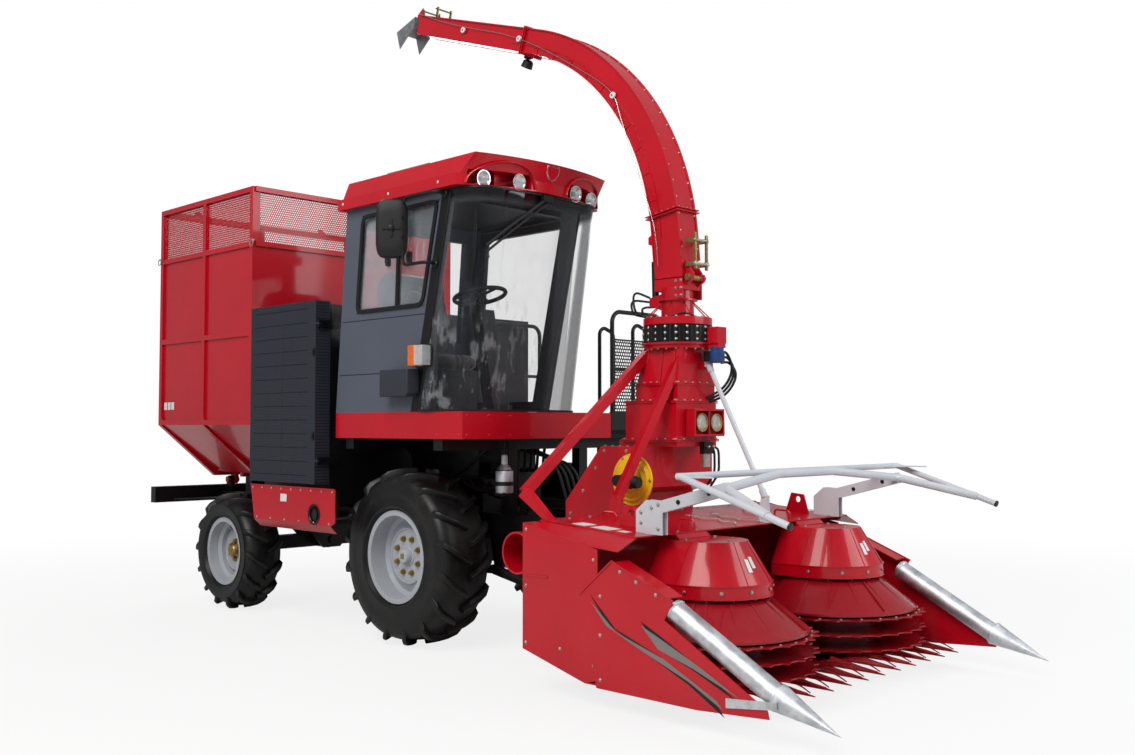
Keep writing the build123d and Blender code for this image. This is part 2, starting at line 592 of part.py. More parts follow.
def door_hinge(z):
    """Plane of one door hinge, its z along the leaning hinge line."""
    rise = CAB_TOP - FLOOR_TOP
    return Plane((rear_edge(z) + 133, CAB_LEFT + 12, z), x_dir=(rise, 0, -REAR_LEAN), z_dir=(REAR_LEAN, 0, rise))


def door_pins():
    """Fixed hinge leaves and pins on the left rear post."""
    parts = []
    for z in DOOR_HINGES:
        plane = door_hinge(z)
        parts.append(plane * (Pos(0, 0, 30) * Cylinder(5, 60)))
        for low in (0, 40):
            parts.append(plane * block((-60, -6), (-20, 2), (low, low + 20)))
            parts.append(plane * (Pos(0, 0, low + 10) * Cylinder(9, 20)))
    return parts


def cab_frame():
    """Black front pillars, header rail, and the sills that carry the windscreen."""
    outline = [(pillar_edge(FLOOR_TOP) - PILLAR_WIDTH, FLOOR_TOP), (pillar_edge(FLOOR_TOP), FLOOR_TOP),
               (pillar_edge(CAB_TOP), CAB_TOP), (pillar_edge(CAB_TOP) - PILLAR_WIDTH, CAB_TOP)]
    right = side_plate(outline, CAB_RIGHT, CAB_RIGHT + CAB_WALL)
    left = side_plate(outline, CAB_LEFT - CAB_WALL, CAB_LEFT)
    rail = block((PILLAR_TOP_X - PILLAR_WIDTH + 4, PILLAR_TOP_X - 6),
                 (CAB_RIGHT + CAB_WALL, CAB_LEFT - CAB_WALL), (CAB_TOP - 60, CAB_TOP))
    door_rail = block((FLOOR_REAR + REAR_LEAN + 132, PILLAR_TOP_X - PILLAR_WIDTH + 4),
                      (CAB_LEFT - CAB_WALL, CAB_LEFT), (CAB_TOP - 40, CAB_TOP))
    return right.fuse(left, rail, door_rail)


def door_outline(inset, low, high):
    """Side outline of the door between the rear post and the front pillar."""
    rear = 130 + RUN_GAP + inset
    front = PILLAR_WIDTH + RUN_GAP + inset
    return [(rear_edge(low) + rear, low), (pillar_edge(low) - front, low),
            (pillar_edge(high) - front, high), (rear_edge(high) + rear, high)]


def cab_door():
    """Left door: frame with one large pane in it and a handle."""
    top = CAB_TOP - 40 - RUN_GAP
    y = (CAB_LEFT - CAB_WALL + 4, CAB_LEFT)
    frame = side_plate(door_outline(0, DOOR_SILL, top), *y)
    frame = frame.cut(side_plate(door_outline(60, DOOR_SILL + 70, top - 60), y[0] - 5, y[1] + 5))
    handle = block((pillar_edge(2250) - 190, pillar_edge(2250) - 110), (CAB_LEFT, CAB_LEFT + 40),
                   (2240, 2270))
    for z in DOOR_HINGES:
        plane = door_hinge(z)
        leaf = plane * block((3, 60), (-20, 2), (20 + PIN_GAP, 40 - PIN_GAP))
        eye = plane * (Pos(0, 0, 30) * Cylinder(9, 20 - 2 * PIN_GAP))
        bore = plane * (Pos(0, 0, 30) * Cylinder(5 + FIT, 60))
        frame = frame.fuse(leaf, eye).cut(bore)
    glass = side_plate(door_outline(60 + FIT, DOOR_SILL + 70 + FIT, top - 60 - FIT),
                       CAB_LEFT - CAB_WALL / 2, CAB_LEFT - CAB_WALL / 2 + GLASS)
    return frame.fuse(handle), glass


def cab_windows():
    """Right sliding window and rear window panes, seated in their openings."""
    right = side_plate([(-380 + FIT, WINDOW_BOTTOM + FIT),
                        (pillar_edge(WINDOW_BOTTOM) - 100 - FIT, WINDOW_BOTTOM + FIT),
                        (pillar_edge(WINDOW_TOP) - 100 - FIT, WINDOW_TOP - FIT),
                        (-310 + FIT, WINDOW_TOP - FIT)], CAB_RIGHT + 22, CAB_RIGHT + 22 + GLASS)
    low, high = WINDOW_BOTTOM - 150 + FIT, WINDOW_TOP - 60 - FIT
    rear = side_plate([(rear_edge(low) + 20, low), (rear_edge(low) + 20 + GLASS, low),
                       (rear_edge(high) + 20 + GLASS, high), (rear_edge(high) + 20, high)],
                      CAB_RIGHT + 140 + FIT, CAB_LEFT - 140 - FIT)
    return [right, rear]


def bow(x_side, x_front, z, inset):
    """Plan curve of the windscreen at one height: two corner arcs and a gentle front arc."""
    mid = (CAB_RIGHT + CAB_LEFT) / 2
    half = (CAB_LEFT - CAB_RIGHT) / 2 - 6 - inset
    shoulder = half * 0.55
    front = x_front - inset
    side = x_side + FIT
    knee = (side + (front - side) * 0.72, mid - half * 0.88)
    points = [(side, mid - half), knee, (front - 25, mid - shoulder), (front, mid),
              (front - 25, mid + shoulder), (knee[0], mid + half * 0.88), (side, mid + half)]
    at = [Vector(x, y, z) for x, y in points]
    return [Edge.make_three_point_arc(at[0], at[1], at[2]),
            Edge.make_three_point_arc(at[2], at[3], at[4]),
            Edge.make_three_point_arc(at[4], at[5], at[6])]


def windscreen():
    """Curved windscreen, leaning forward with height, ruled between two plan curves."""
    sections = []
    for x_side, x_front, z in ((PILLAR_BOTTOM_X, FLOOR_FRONT - 20, FLOOR_TOP + FIT),
                               (PILLAR_TOP_X, ROOF_FRONT - 60, CAB_TOP - FIT)):
        outer = bow(x_side, x_front, z, 0)
        inner = bow(x_side, x_front, z, GLASS + 2)
        ends = [Edge.make_line(outer[0] @ 0, inner[0] @ 0), Edge.make_line(outer[2] @ 1, inner[2] @ 1)]
        sections.append(Wire(outer + inner + ends))
    return Solid.make_loft(sections, ruled=True)


def roof_outline(inset, z, corner_x, front_x):
    """Roof plan: straight sides and rear with a bowed front."""
    rear = ROOF_REAR + inset
    right, left = CAB_RIGHT - ROOF_OVERHANG + inset, CAB_LEFT + ROOF_OVERHANG - inset
    corners = [Vector(corner_x, left, z), Vector(rear, left, z), Vector(rear, right, z),
               Vector(corner_x, right, z)]
    edges = [Edge.make_line(corners[n], corners[n + 1]) for n in range(3)]
    edges.append(Edge.make_three_point_arc(corners[3], Vector(front_x, (right + left) / 2, z), corners[0]))
    return Wire(edges)


def cab_roof():
    """Roof cap: drip flange, crown whose front leans forward, and the lamp recesses."""
    flange = Solid.extrude(Face(roof_outline(0, CAB_TOP, 850, ROOF_FRONT - 30)), Vector(0, 0, ROOF_FLANGE))
    crown = Solid.make_loft([roof_outline(26, CAB_TOP + ROOF_FLANGE - 5, 860, ROOF_FRONT - 30),
                             roof_outline(60, ROOF_TOP, 985, ROOF_FRONT)], ruled=True)
    roof = flange.fuse(crown)
    for near, far, x, _ in ROOF_POCKETS:
        for side in (-1, 1):
            y = sorted((CAB_MID + side * near, CAB_MID + side * far))
            roof = roof.cut(block((x, ROOF_FRONT + 60), y, (CAB_TOP + 8, CAB_TOP + 106)))
    return roof


def roof_lamps():
    """Four round work lamps in the roof recesses."""
    lamps = []
    for _, _, back, off in ROOF_POCKETS:
        for y in (CAB_MID - off, CAB_MID + off):
            x, z = back + FIT, CAB_TOP + 57
            body = rod((x, y, z), (x + 30, y, z), 24)
            bowl = Solid.make_cone(32, 46, 40, Plane((x + 29, y, z), z_dir=(1, 0, 0)))
            lamps.append(body.fuse(bowl))
    return lamps


def air_unit():
    """Low air-conditioning unit on the roof."""
    base = Solid.make_loft([Wire.make_polygon([Vector(x, y, z) for x, y in
                                               ((-420 + d, -850 + d), (250 - 3 * d, -850 + d),
                                                (250 - 3 * d, -60 - d), (-420 + d, -60 - d))])
                            for d, z in ((0, ROOF_TOP + FIT), (40, ROOF_TOP + 110))], ruled=True)
    return base


def seat():
    """Seat pedestal and the two cushions on it."""
    mid = (CAB_RIGHT + CAB_LEFT) / 2
    base = block((-300, 60), (mid - 180, mid + 180), (FLOOR_TOP, FLOOR_TOP + 330))
    squab = block((-340, 120), (mid - 240, mid + 240), (FLOOR_TOP + 330 + FIT, FLOOR_TOP + 450))
    low = FLOOR_TOP + 450 + FIT
    back = side_plate([(-345, low), (-225, low), (-300, FLOOR_TOP + 1010),
                       (-400, FLOOR_TOP + 1010)], mid - 235, mid + 235)
    return base, squab, back


def steering_column():
    """Column, steering wheel and dash pod."""
    mid = (CAB_RIGHT + CAB_LEFT) / 2
    foot = block((400, 560), (mid - 90, mid + 90), (FLOOR_TOP, FLOOR_TOP + 60))
    post = bar((470, mid, FLOOR_TOP + 45), (330, mid, FLOOR_TOP + 760), 130, 110)
    stem = rod((330, mid, FLOOR_TOP + 740), (296, mid, FLOOR_TOP + 880), 22)
    tilt = Plane((296, mid, FLOOR_TOP + 880), z_dir=(-0.24, 0, 0.97))
    ring = tilt * Torus(195, 16)
    spokes = [tilt * (Rot(0, 0, 120 * n) * (Pos(95, 0, 0) * Box(195, 26, 14))) for n in range(3)]
    hub = tilt * Cylinder(42, 34)
    return foot.fuse(post, stem, ring, hub, *spokes)


def side_console():
    """Console with the control levers at the driver's right."""
    body = side_plate([(-420, FLOOR_TOP), (260, FLOOR_TOP), (260, FLOOR_TOP + 520),
                       (100, FLOOR_TOP + 640), (-420, FLOOR_TOP + 640)], CAB_RIGHT + 60, CAB_RIGHT + 270)
    levers = [rod((x, CAB_RIGHT + 170, FLOOR_TOP + 600), (x + 30, CAB_RIGHT + 170, FLOOR_TOP + 760), 9)
              for x in (-60, 30)]
    knobs = [Pos(x + 30, CAB_RIGHT + 170, FLOOR_TOP + 770) * Sphere(24) for x in (-60, 30)]
    return body.fuse(*levers, *knobs)


def cab_fittings():
    """Right mirror on its tube arm, turn lamp on the front pillar and the step box."""
    y = CAB_RIGHT
    out, inn = y - 85, y - FIT
    arm = bent_tube([(665, inn, MIRROR_TOP), (665, out, MIRROR_TOP), (300, out, MIRROR_TOP),
                     (300, out, MIRROR_LOW), (560, out, MIRROR_LOW), (560, inn, MIRROR_LOW)], 11, 35)
    head = Pos(235, y - 135, (MIRROR_TOP + MIRROR_LOW) / 2 + 25) * Rot(0, 0, 45) * Box(232, 60, 430)
    lamp = block((380, 520), (y - 90, y - 20), (2050, 2150)).fuse(block((420, 440), (y - 21, y - FIT), (2085, 2115)))
    box = block((60, PILLAR_BOTTOM_X + 20), (y - 110, y - FIT), (1812, 2010))
    return [arm.fuse(head), lamp, box]


def platform():
    """Left walkway beside the cab with its frame."""
    deck = block((FLOOR_REAR, FLOOR_FRONT), (CAB_LEFT + 200 + RUN_GAP, PLATFORM_LEFT),
                 (FLOOR_BOTTOM + 60, FLOOR_BOTTOM + 84))
    ribs = [block((x, x + 80), (CAB_LEFT + 200 + RUN_GAP, PLATFORM_LEFT), (FLOOR_BOTTOM - 2, FLOOR_BOTTOM + 60))
            for x in (-550, 630)]
    kick = block((FLOOR_FRONT - 20, FLOOR_FRONT), (CAB_LEFT + 200 + RUN_GAP, PLATFORM_LEFT),
                 (FLOOR_BOTTOM + 84, FLOOR_BOTTOM + 200))
    return deck.fuse(*ribs, kick, *handrails(), *ladder())


def handrails():
    """Platform rail at the front and rear, and the two rails of the ladder."""
    z = FLOOR_BOTTOM + 84
    y = PLATFORM_LEFT - 40
    front = bent_tube([(FLOOR_FRONT - 40, CAB_LEFT + 260, z), (FLOOR_FRONT - 40, CAB_LEFT + 260, z + 900),
                       (FLOOR_FRONT - 40, y, z + 900), (FLOOR_FRONT - 40, y, z)], 17, 90)
    back = bent_tube([(FLOOR_REAR + 40, CAB_LEFT + 260, z), (FLOOR_REAR + 40, CAB_LEFT + 260, z + 900),
                      (FLOOR_REAR + 40, y, z + 900), (FLOOR_REAR + 40, y, z)], 17, 90)
    mid_front = rod((FLOOR_FRONT - 40, CAB_LEFT + 262, z + 450), (FLOOR_FRONT - 40, y - 2, z + 450), 14)
    mid_back = rod((FLOOR_REAR + 40, CAB_LEFT + 262, z + 450), (FLOOR_REAR + 40, y - 2, z + 450), 14)
    return [front, mid_front, back, mid_back]


def ladder():
    """Access ladder on the left side with tall grab rails."""
    y0, y1 = PLATFORM_LEFT - 2, PLATFORM_LEFT + 190
    stringers = []
    for x in (70, 450):
        stringers.append(side_plate([(x, 560), (x + 40, 560), (x + 40, FLOOR_BOTTOM + 84),
                                     (x, FLOOR_BOTTOM + 84)], y0, y0 + 30))
    steps = [block((70, 490), (y0, y1), (z, z + 30)) for z in (580, 880, 1180, 1450)]
    rails = [bent_tube([(x, y0 + 15, FLOOR_BOTTOM + 80), (x, y0 + 15, FLOOR_BOTTOM + 960),
                        (x, y1, FLOOR_BOTTOM + 900), (x, y1, 1200), (x, y0 + 20, 1200)], 16, 60)
             for x in (90, 470)]
    return stringers + steps + rails


def air_cleaner():
    """Air cleaner drum on the engine bay roof behind the cab."""
    x = (BAY_REAR + BAY_FRONT) / 2 + 260
    drum = rod((x, -350, BAY_TOP + 175), (x, 120, BAY_TOP + 175), 160)
    feet = [block((x - 90, x + 90), (y, y + 40), (BAY_TOP - 2, BAY_TOP + 60)) for y in (-270, 0)]
    return drum.fuse(*feet)


def gearbox():
    """Transmission and belt case under the cab floor, on the rails."""
    case = block((-420, 180), (-RAIL_Y + 20, RAIL_Y - 20), (RAIL_TOP - 60, RAIL_TOP + 240))
    drum = rod((-120, -520, RAIL_TOP + 120), (-120, 520, RAIL_TOP + 120), 95)
    feet = [block((x, x + 60), (-RAIL_Y - 60, RAIL_Y + 60), (RAIL_TOP, RAIL_TOP + 40)) for x in (-400, 100)]
    shaft = rod((170, 0, RAIL_TOP + 60), (RAIL_FRONT - 100, 0, RAIL_TOP + 60), 40)
    bearing = block((RAIL_FRONT - 160, RAIL_FRONT - 100), (-60, 60), (RAIL_TOP - 10, RAIL_TOP + 120))
    return case.fuse(drum, *feet, shaft, bearing)


def canister():
    """Silver accumulator bottle under the cab's front edge."""
    x, y = 700, -560
    body = upright([(0, 1130), (62, 1130), (62, 1290), (20, 1330), (20, 1400), (0, 1400)], x, y)
    strap = block((x - 20, x + 20), (y - 20, -RAIL_Y - 10), (1100, 1130))
    foot = block((x - 50, x + 50), (y - 50, y + 50), (1110, 1130))
    leg = block((x - 20, x + 20), (-RAIL_Y - 60, -RAIL_Y - 10), (RAIL_TOP, 1130))
    return body.fuse(strap, foot, leg)


def fuel_tank():
    """Fuel tank slung on the left rail between the axles."""
    tank = block((-1640, -760), (RAIL_Y + RAIL_WIDTH + 40, 1040), (620, 890))
    straps = [block((x, x + 40), (RAIL_Y + RAIL_WIDTH, RAIL_Y + RAIL_WIDTH + 40), (700, 860))
              for x in (-1500, -940)]
    return tank.fuse(*straps)


def hull(inset):
    """Cross outline of the tank with its two sloping floor sides."""
    return [(-TANK_HALF + inset, TANK_TOP + inset), (-TANK_HALF + inset, TANK_SIDE_BOTTOM + inset * 0.4),
            (-TANK_FLOOR_HALF + inset * 0.4, TANK_BOTTOM + inset),
            (TANK_FLOOR_HALF - inset * 0.4, TANK_BOTTOM + inset),
            (TANK_HALF - inset, TANK_SIDE_BOTTOM + inset * 0.4), (TANK_HALF - inset, TANK_TOP + inset)]


def tank_body():
    """Open-topped crop tank: sloping floor, side and front walls, ribs and frame rails."""
    outer = front_plate(hull(0), TANK_REAR, TANK_FRONT)
    inner = front_plate(hull(TANK_SHEET), TANK_REAR - 10, TANK_FRONT - TANK_SHEET)
    shell = outer.cut(inner)
    above = [
        block((TANK_REAR + 50, (TANK_REAR + TANK_FRONT) / 2 - 25), (-TANK_HALF - 60, TANK_HALF + 60),
              (TANK_MESH + 45, TANK_TOP - 45)),
        block(((TANK_REAR + TANK_FRONT) / 2 + 25, TANK_FRONT - 50), (-TANK_HALF - 60, TANK_HALF + 60),
              (TANK_MESH + 45, TANK_TOP - 45)),
        block((TANK_FRONT - 60, TANK_FRONT + 60), (-TANK_HALF + 50, -25), (TANK_MESH + 45, TANK_TOP - 45)),
        block((TANK_FRONT - 60, TANK_FRONT + 60), (25, TANK_HALF - 50), (TANK_MESH + 45, TANK_TOP - 45)),
    ]
    shell = shell.cut(*above)
    out = TANK_HALF + 20
    ribs = []
    for z in (TANK_SIDE_BOTTOM, TANK_MID, TANK_MESH, TANK_TOP - 45):
        ribs.append(block((TANK_REAR, TANK_FRONT), (TANK_HALF - 5, out), (z, z + 45)))
    for x in (TANK_REAR, (TANK_REAR + TANK_FRONT) / 2 - 25, TANK_FRONT - 50):
        ribs.append(block((x, x + 50), (TANK_HALF - 5, out), (TANK_SIDE_BOTTOM, TANK_TOP)))
        slope = front_plate([(TANK_HALF - 2, TANK_SIDE_BOTTOM + 8), (out, TANK_SIDE_BOTTOM + 8),
                             (out, TANK_SIDE_BOTTOM),
                             (TANK_FLOOR_HALF + 20, TANK_BOTTOM - TANK_RIB),
                             (TANK_FLOOR_HALF - 2, TANK_BOTTOM + 2)], x, x + 50)
        ribs.append(slope)
    ribs += [mirror_y(r) for r in ribs]
    for x in (TANK_REAR, (TANK_REAR + TANK_FRONT) / 2 - 25, TANK_FRONT - 50, BOLSTER_X[1] + 35, BOLSTER_X[0] + 35):
        ribs.append(block((x, x + 50), (-TANK_FLOOR_HALF, TANK_FLOOR_HALF), (TANK_BOTTOM - TANK_RIB, TANK_BOTTOM + 2)))
    for z in (TANK_MID, TANK_MESH, TANK_TOP - 45):
        ribs.append(block((TANK_FRONT - 2, TANK_FRONT + 20), (-TANK_HALF, TANK_HALF), (z, z + 45)))
    ribs.append(block((TANK_REAR, TANK_REAR + 50), (-TANK_HALF, TANK_HALF), (TANK_TOP - 45, TANK_TOP)))
    tip = side_plate([(TIP_X - 38, TIP_Z - 40), (TIP_X + 45, TIP_Z - 40),
                      (TIP_X + 70, TANK_BOTTOM), (TIP_X - 38, TANK_BOTTOM)],
                     RAIL_Y - 30 - PIN_GAP, RAIL_Y - PIN_GAP)
    pin = rod((TIP_X, RAIL_Y - 60, TIP_Z), (TIP_X, RAIL_Y + 60, TIP_Z), TIP_PIN_R)
    ear = side_plate([(TANK_REAR + 80, TANK_TOP - 2), (TANK_REAR, TANK_TOP - 2), (GATE_X - 18, GATE_Z - 14),
                      (GATE_X - 18, GATE_Z + 16), (TANK_REAR, GATE_Z + 16)], GATE_EAR_Y, GATE_EAR_Y + 16)
    gate_pin = rod((GATE_X, GATE_EAR_Y + 4, GATE_Z), (GATE_X, GATE_EAR_Y + 44, GATE_Z), 10)
    lift = [side_plate([(TANK_EYE[0] - 80, TANK_BOTTOM + 2), (TANK_EYE[0] + 60, TANK_BOTTOM + 2),
                        (TANK_EYE[0] + 30, TANK_EYE[1] - 34), (TANK_EYE[0] - 30, TANK_EYE[1] - 34)], y, y + 12)
            for y in (CYLINDER_Y - 42, CYLINDER_Y + 30)]
    shell = shell.fuse(*lift, *[mirror_y(p) for p in lift])
    return shell.fuse(*ribs, *both_sides(tip), *both_sides(pin), *both_sides(ear), *both_sides(gate_pin))


def tank_screens():
    """Perforated sheets in the upper bays of the tank walls."""
    mid = (TANK_REAR + TANK_FRONT) / 2
    low, high = TANK_MESH + 45 + FIT, TANK_TOP - 45 - FIT
    panels = []
    for x0, x1 in ((TANK_REAR + 50, mid - 25), (mid + 25, TANK_FRONT - 50)):
        sheet = block((x0 + FIT, x1 - FIT), (TANK_HALF - 12, TANK_HALF - 8), (low, high))
        panels += both_sides(sheet)
    front = block((TANK_FRONT - 12, TANK_FRONT - 8), (25 + FIT, TANK_HALF - 50 - FIT), (low, high))
    return panels + both_sides(front)


def tailgate():
    """Rear gate hung from two hinge ears at the top, following the tank's outline."""
    x = TANK_REAR - RUN_GAP
    plate = front_plate([(y * 1.0, min(z, TANK_TOP - 4)) for y, z in hull(2)], x - TANK_SHEET, x)
    ribs = []
    for z in (TANK_SIDE_BOTTOM, TANK_MID, TANK_MESH, TANK_TOP - 49):
        ribs.append(block((x - TANK_SHEET - 20, x - TANK_SHEET + 2), (-TANK_HALF + 4, TANK_HALF - 4), (z, z + 45)))
    for y in (-TANK_HALF + 4, -25, TANK_HALF - 54):
        ribs.append(block((x - TANK_SHEET - 20, x - TANK_SHEET + 2), (y, y + 50), (TANK_SIDE_BOTTOM, TANK_TOP - 4)))
    holes = [block((x - 60, x + 10), (y0, y1), (TANK_MESH + 45, TANK_TOP - 49))
             for y0, y1 in ((-TANK_HALF + 54, -25), (25, TANK_HALF - 54))]
    ear = side_plate([(x - TANK_SHEET - 16, TANK_TOP - 8), (x - 2, TANK_TOP - 8), (x - 2, GATE_Z + 16),
                      (x - TANK_SHEET - 16, GATE_Z + 16)], GATE_EAR_Y + 16 + PIN_GAP, GATE_EAR_Y + 34)
    ear = ear.cut(rod((GATE_X, 0, GATE_Z), (GATE_X, 900, GATE_Z), 10 + FIT))
    return plate.fuse(*ribs, *both_sides(ear)).cut(*holes)


def deck_z(x):
    """Height of the deck's top face."""
    share = (x - HEADER_REAR) / (DECK_FRONT - HEADER_REAR)
    return HEADER_TOP - 20 + SHEET + share * (DECK_FRONT_Z - HEADER_TOP + 20)


def header_frame():
    """Header structure: cross tube, clevises, rear wall, deck, sides, floor pan and skids."""
    tube = rod((TUBE_X, -TUBE_HALF, TUBE_Z), (TUBE_X, TUBE_HALF, TUBE_Z), TUBE_R)
    bore = rod((TUBE_X, -TUBE_HALF - 5, TUBE_Z), (TUBE_X, TUBE_HALF + 5, TUBE_Z), TUBE_R - WALL)
    tube = tube.cut(bore)
    parts = []
    for y in (RAIL_Y + 60 - PIN_GAP - 26, RAIL_Y + RAIL_WIDTH + PIN_GAP):
        clevis = side_plate([(PIVOT_X - 45, PIVOT_Z - 40), (PIVOT_X + 20, PIVOT_Z - 48),
                             (TUBE_X, TUBE_Z - TUBE_R + 10), (TUBE_X - 60, TUBE_Z + 60),
                             (PIVOT_X - 20, PIVOT_Z + 48)], y, y + 26)
        clevis = clevis.cut(rod((TUBE_X, y - 5, TUBE_Z), (TUBE_X, y + 31, TUBE_Z), TUBE_R - 4))
        parts += both_sides(clevis)
    pin = rod((PIVOT_X, RAIL_Y + 20, PIVOT_Z), (PIVOT_X, RAIL_Y + RAIL_WIDTH + 40, PIVOT_Z), PIVOT_R)
    parts += both_sides(pin)
    for y in (CYLINDER_Y - 42, CYLINDER_Y + 30):
        lift = side_plate([(TUBE_X - 60, TUBE_Z - 100), (HEADER_REAR, 640), (HEADER_REAR, 420),
                           (LIFT_EYE[0] + 34, LIFT_EYE[1] - 34), (LIFT_EYE[0] - 34, LIFT_EYE[1] - 34)], y, y + 12)
        parts += both_sides(lift.cut(rod((TUBE_X, y - 5, TUBE_Z), (TUBE_X, y + 20, TUBE_Z), TUBE_R - 4)))
    wall = block((HEADER_REAR, HEADER_REAR + SHEET), (-SIDE_HALF, SIDE_HALF), (HEADER_BOTTOM, HEADER_TOP - 20))
    feeder = block((HEADER_REAR - 5, HEADER_REAR + SHEET + 5), (-300, 300), (330, 900))
    wall = wall.cut(feeder)
    deck = side_plate([(HEADER_REAR, HEADER_TOP - 20), (HEADER_REAR, HEADER_TOP - 20 + SHEET),
                       (DECK_FRONT, DECK_FRONT_Z + SHEET), (DECK_FRONT, DECK_FRONT_Z)],
                      -DECK_HALF, DECK_HALF)
    for y in (-900, -420, 420, 900):
        parts.append(side_plate([(TUBE_X + 60, TUBE_Z - 100), (HEADER_REAR, 500), (HEADER_REAR, 980),
                                 (TUBE_X, TUBE_Z + TUBE_R - 8)], y - 12, y + 12)
                     .cut(rod((TUBE_X, y - 20, TUBE_Z), (TUBE_X, y + 20, TUBE_Z), TUBE_R - 4)))
    side = side_plate([(HEADER_REAR, HEADER_BOTTOM), (HEADER_REAR, HEADER_TOP - 20), (1860, 985),
                       (2300, 900), (2300, 160), (2200, PAN_Z)], SIDE_HALF - SHEET, SIDE_HALF)
    flare = prism([(HEADER_REAR, DECK_HALF - 6, HEADER_TOP - 16), (HEADER_REAR, SIDE_HALF, 960),
                   (HEADER_REAR, SIDE_HALF, 952), (HEADER_REAR, DECK_HALF - 6, HEADER_TOP - 24)],
                  (DECK_FRONT - HEADER_REAR, 0, -(HEADER_TOP - 20 - DECK_FRONT_Z)))
    parts += both_sides(side) + both_sides(flare)
    pan = top_plate([(2200, -SIDE_HALF), (2960, -SIDE_HALF), (2960, SIDE_HALF), (2200, SIDE_HALF)],
                    PAN_Z, PAN_Z + SHEET)
    ramp = side_plate([(HEADER_REAR, HEADER_BOTTOM), (HEADER_REAR, HEADER_BOTTOM + SHEET),
                       (2200, PAN_Z + SHEET), (2200, PAN_Z)], -SIDE_HALF, SIDE_HALF)
    for y in (-DRUM_Y, DRUM_Y):
        parts.append(rod((DRUM_X, y, PAN_Z), (DRUM_X, y, PAN_Z + 60), 90))
        parts.append(rod((DRUM_X, y, PAN_Z + 50), (DRUM_X, y, DRUM_TOP_Z + 10), DRUM_PIN_R))
    return tube.fuse(wall, deck, pan, ramp, *parts, *lifting_ears())


def cover_outline(r, z, y, back):
    """Plan of a drum cover at one height: a half circle in front and straight sides running back."""
    rear = DECK_FRONT - back
    a, b, c, d = (Vector(*p, z) for p in ((rear, y - r), (DRUM_X, y - r), (DRUM_X, y + r), (rear, y + r)))
    return Wire([Edge.make_line(a, b), Edge.make_three_point_arc(b, Vector(DRUM_X + r, y, z), c),
                 Edge.make_line(c, d), Edge.make_line(d, a)])


def drum_covers():
    """Fixed guards over the two drums: skirt, drafted crown and the tie back to the deck."""
    covers = []
    for y in (-DRUM_Y, DRUM_Y):
        forms = []
        for wall, back, low, high in ((0, 60, COVER_BOTTOM, COVER_TOP), (SHEET, 90, COVER_BOTTOM - 5, COVER_TOP - SHEET)):
            skirt = Solid.extrude(Face(cover_outline(COVER_SKIRT_R - wall, low, y, back)),
                                  Vector(0, 0, COVER_SKIRT_TOP - wall / 2 - low))
            crown = Solid.make_loft([cover_outline(COVER_SKIRT_R - wall, COVER_SKIRT_TOP - wall / 2 - 0.01, y, back),
                                     cover_outline(COVER_TOP_R - wall, high, y, back)], ruled=True)
            forms.append(skirt.fuse(crown))
        hub = rod((DRUM_X, y, COVER_TOP - 60), (DRUM_X, y, COVER_TOP - 2), 60)
        rear = DECK_FRONT - 60
        web = side_plate([(rear, COVER_TOP - 6), (rear + 90, COVER_TOP - 6), (rear + 90, COVER_TOP + 4),
                          (DECK_FRONT - 2, deck_z(DECK_FRONT - 2) - SHEET - FIT),
                          (rear, deck_z(rear) - SHEET - FIT)], y - 150, y + 150)
        covers.append(forms[0].cut(forms[1]).fuse(hub, web))
    return covers


def toothed_disc(z, radius):
    """Cutting or carrying disc: hooked teeth all round, from a loop of three points a tooth."""
    points = []
    for n in range(DISC_TEETH):
        for share, depth in ((0.0, DISC_DEPTH), (0.2, 0), (0.55, DISC_DEPTH)):
            angle = 2 * math.pi * (n + share) / DISC_TEETH
            points.append((math.cos(angle) * (radius - depth), math.sin(angle) * (radius - depth)))
    return prism([(x, y, z) for x, y in points], (0, 0, DISC_THICK))


def drum():
    """One drum about its own axis: cone, hub tube, three toothed discs and four ribs."""
    body = upright([(20, DISC_LEVELS[2] - 10), (300, DISC_LEVELS[2] - 10), (300, DRUM_RIM_Z - 30),
                    (DRUM_RIM_R, DRUM_RIM_Z - 14), (DRUM_RIM_R, DRUM_RIM_Z), (DRUM_TOP_R, DRUM_TOP_Z - 6),
                    (20, DRUM_TOP_Z - 6)], 0, 0)
    hollow = upright([(120, DISC_LEVELS[2] + 20), (286, DISC_LEVELS[2] + 20), (286, DRUM_RIM_Z),
                      (DRUM_TOP_R - 60, DRUM_TOP_Z - 30), (120, DRUM_TOP_Z - 30)], 0, 0)
    body = body.cut(hollow)
    discs = [toothed_disc(z, DISC_R) for z in DISC_LEVELS]
    ribs = []
    for n in range(4):
        rib = side_plate([(DRUM_TOP_R + 10, DRUM_TOP_Z - 22), (DRUM_RIM_R - 10, DRUM_RIM_Z + 2),
                          (DRUM_RIM_R - 10, DRUM_RIM_Z + 22), (DRUM_TOP_R + 20, DRUM_TOP_Z - 8)], -5, 5)
        ribs.append(Rot(0, 0, 90 * n + 20) * rib)
    bore = rod((0, 0, 0), (0, 0, DRUM_TOP_Z + 50), DRUM_PIN_R + FIT)
    return body.fuse(*discs, *ribs).cut(bore)


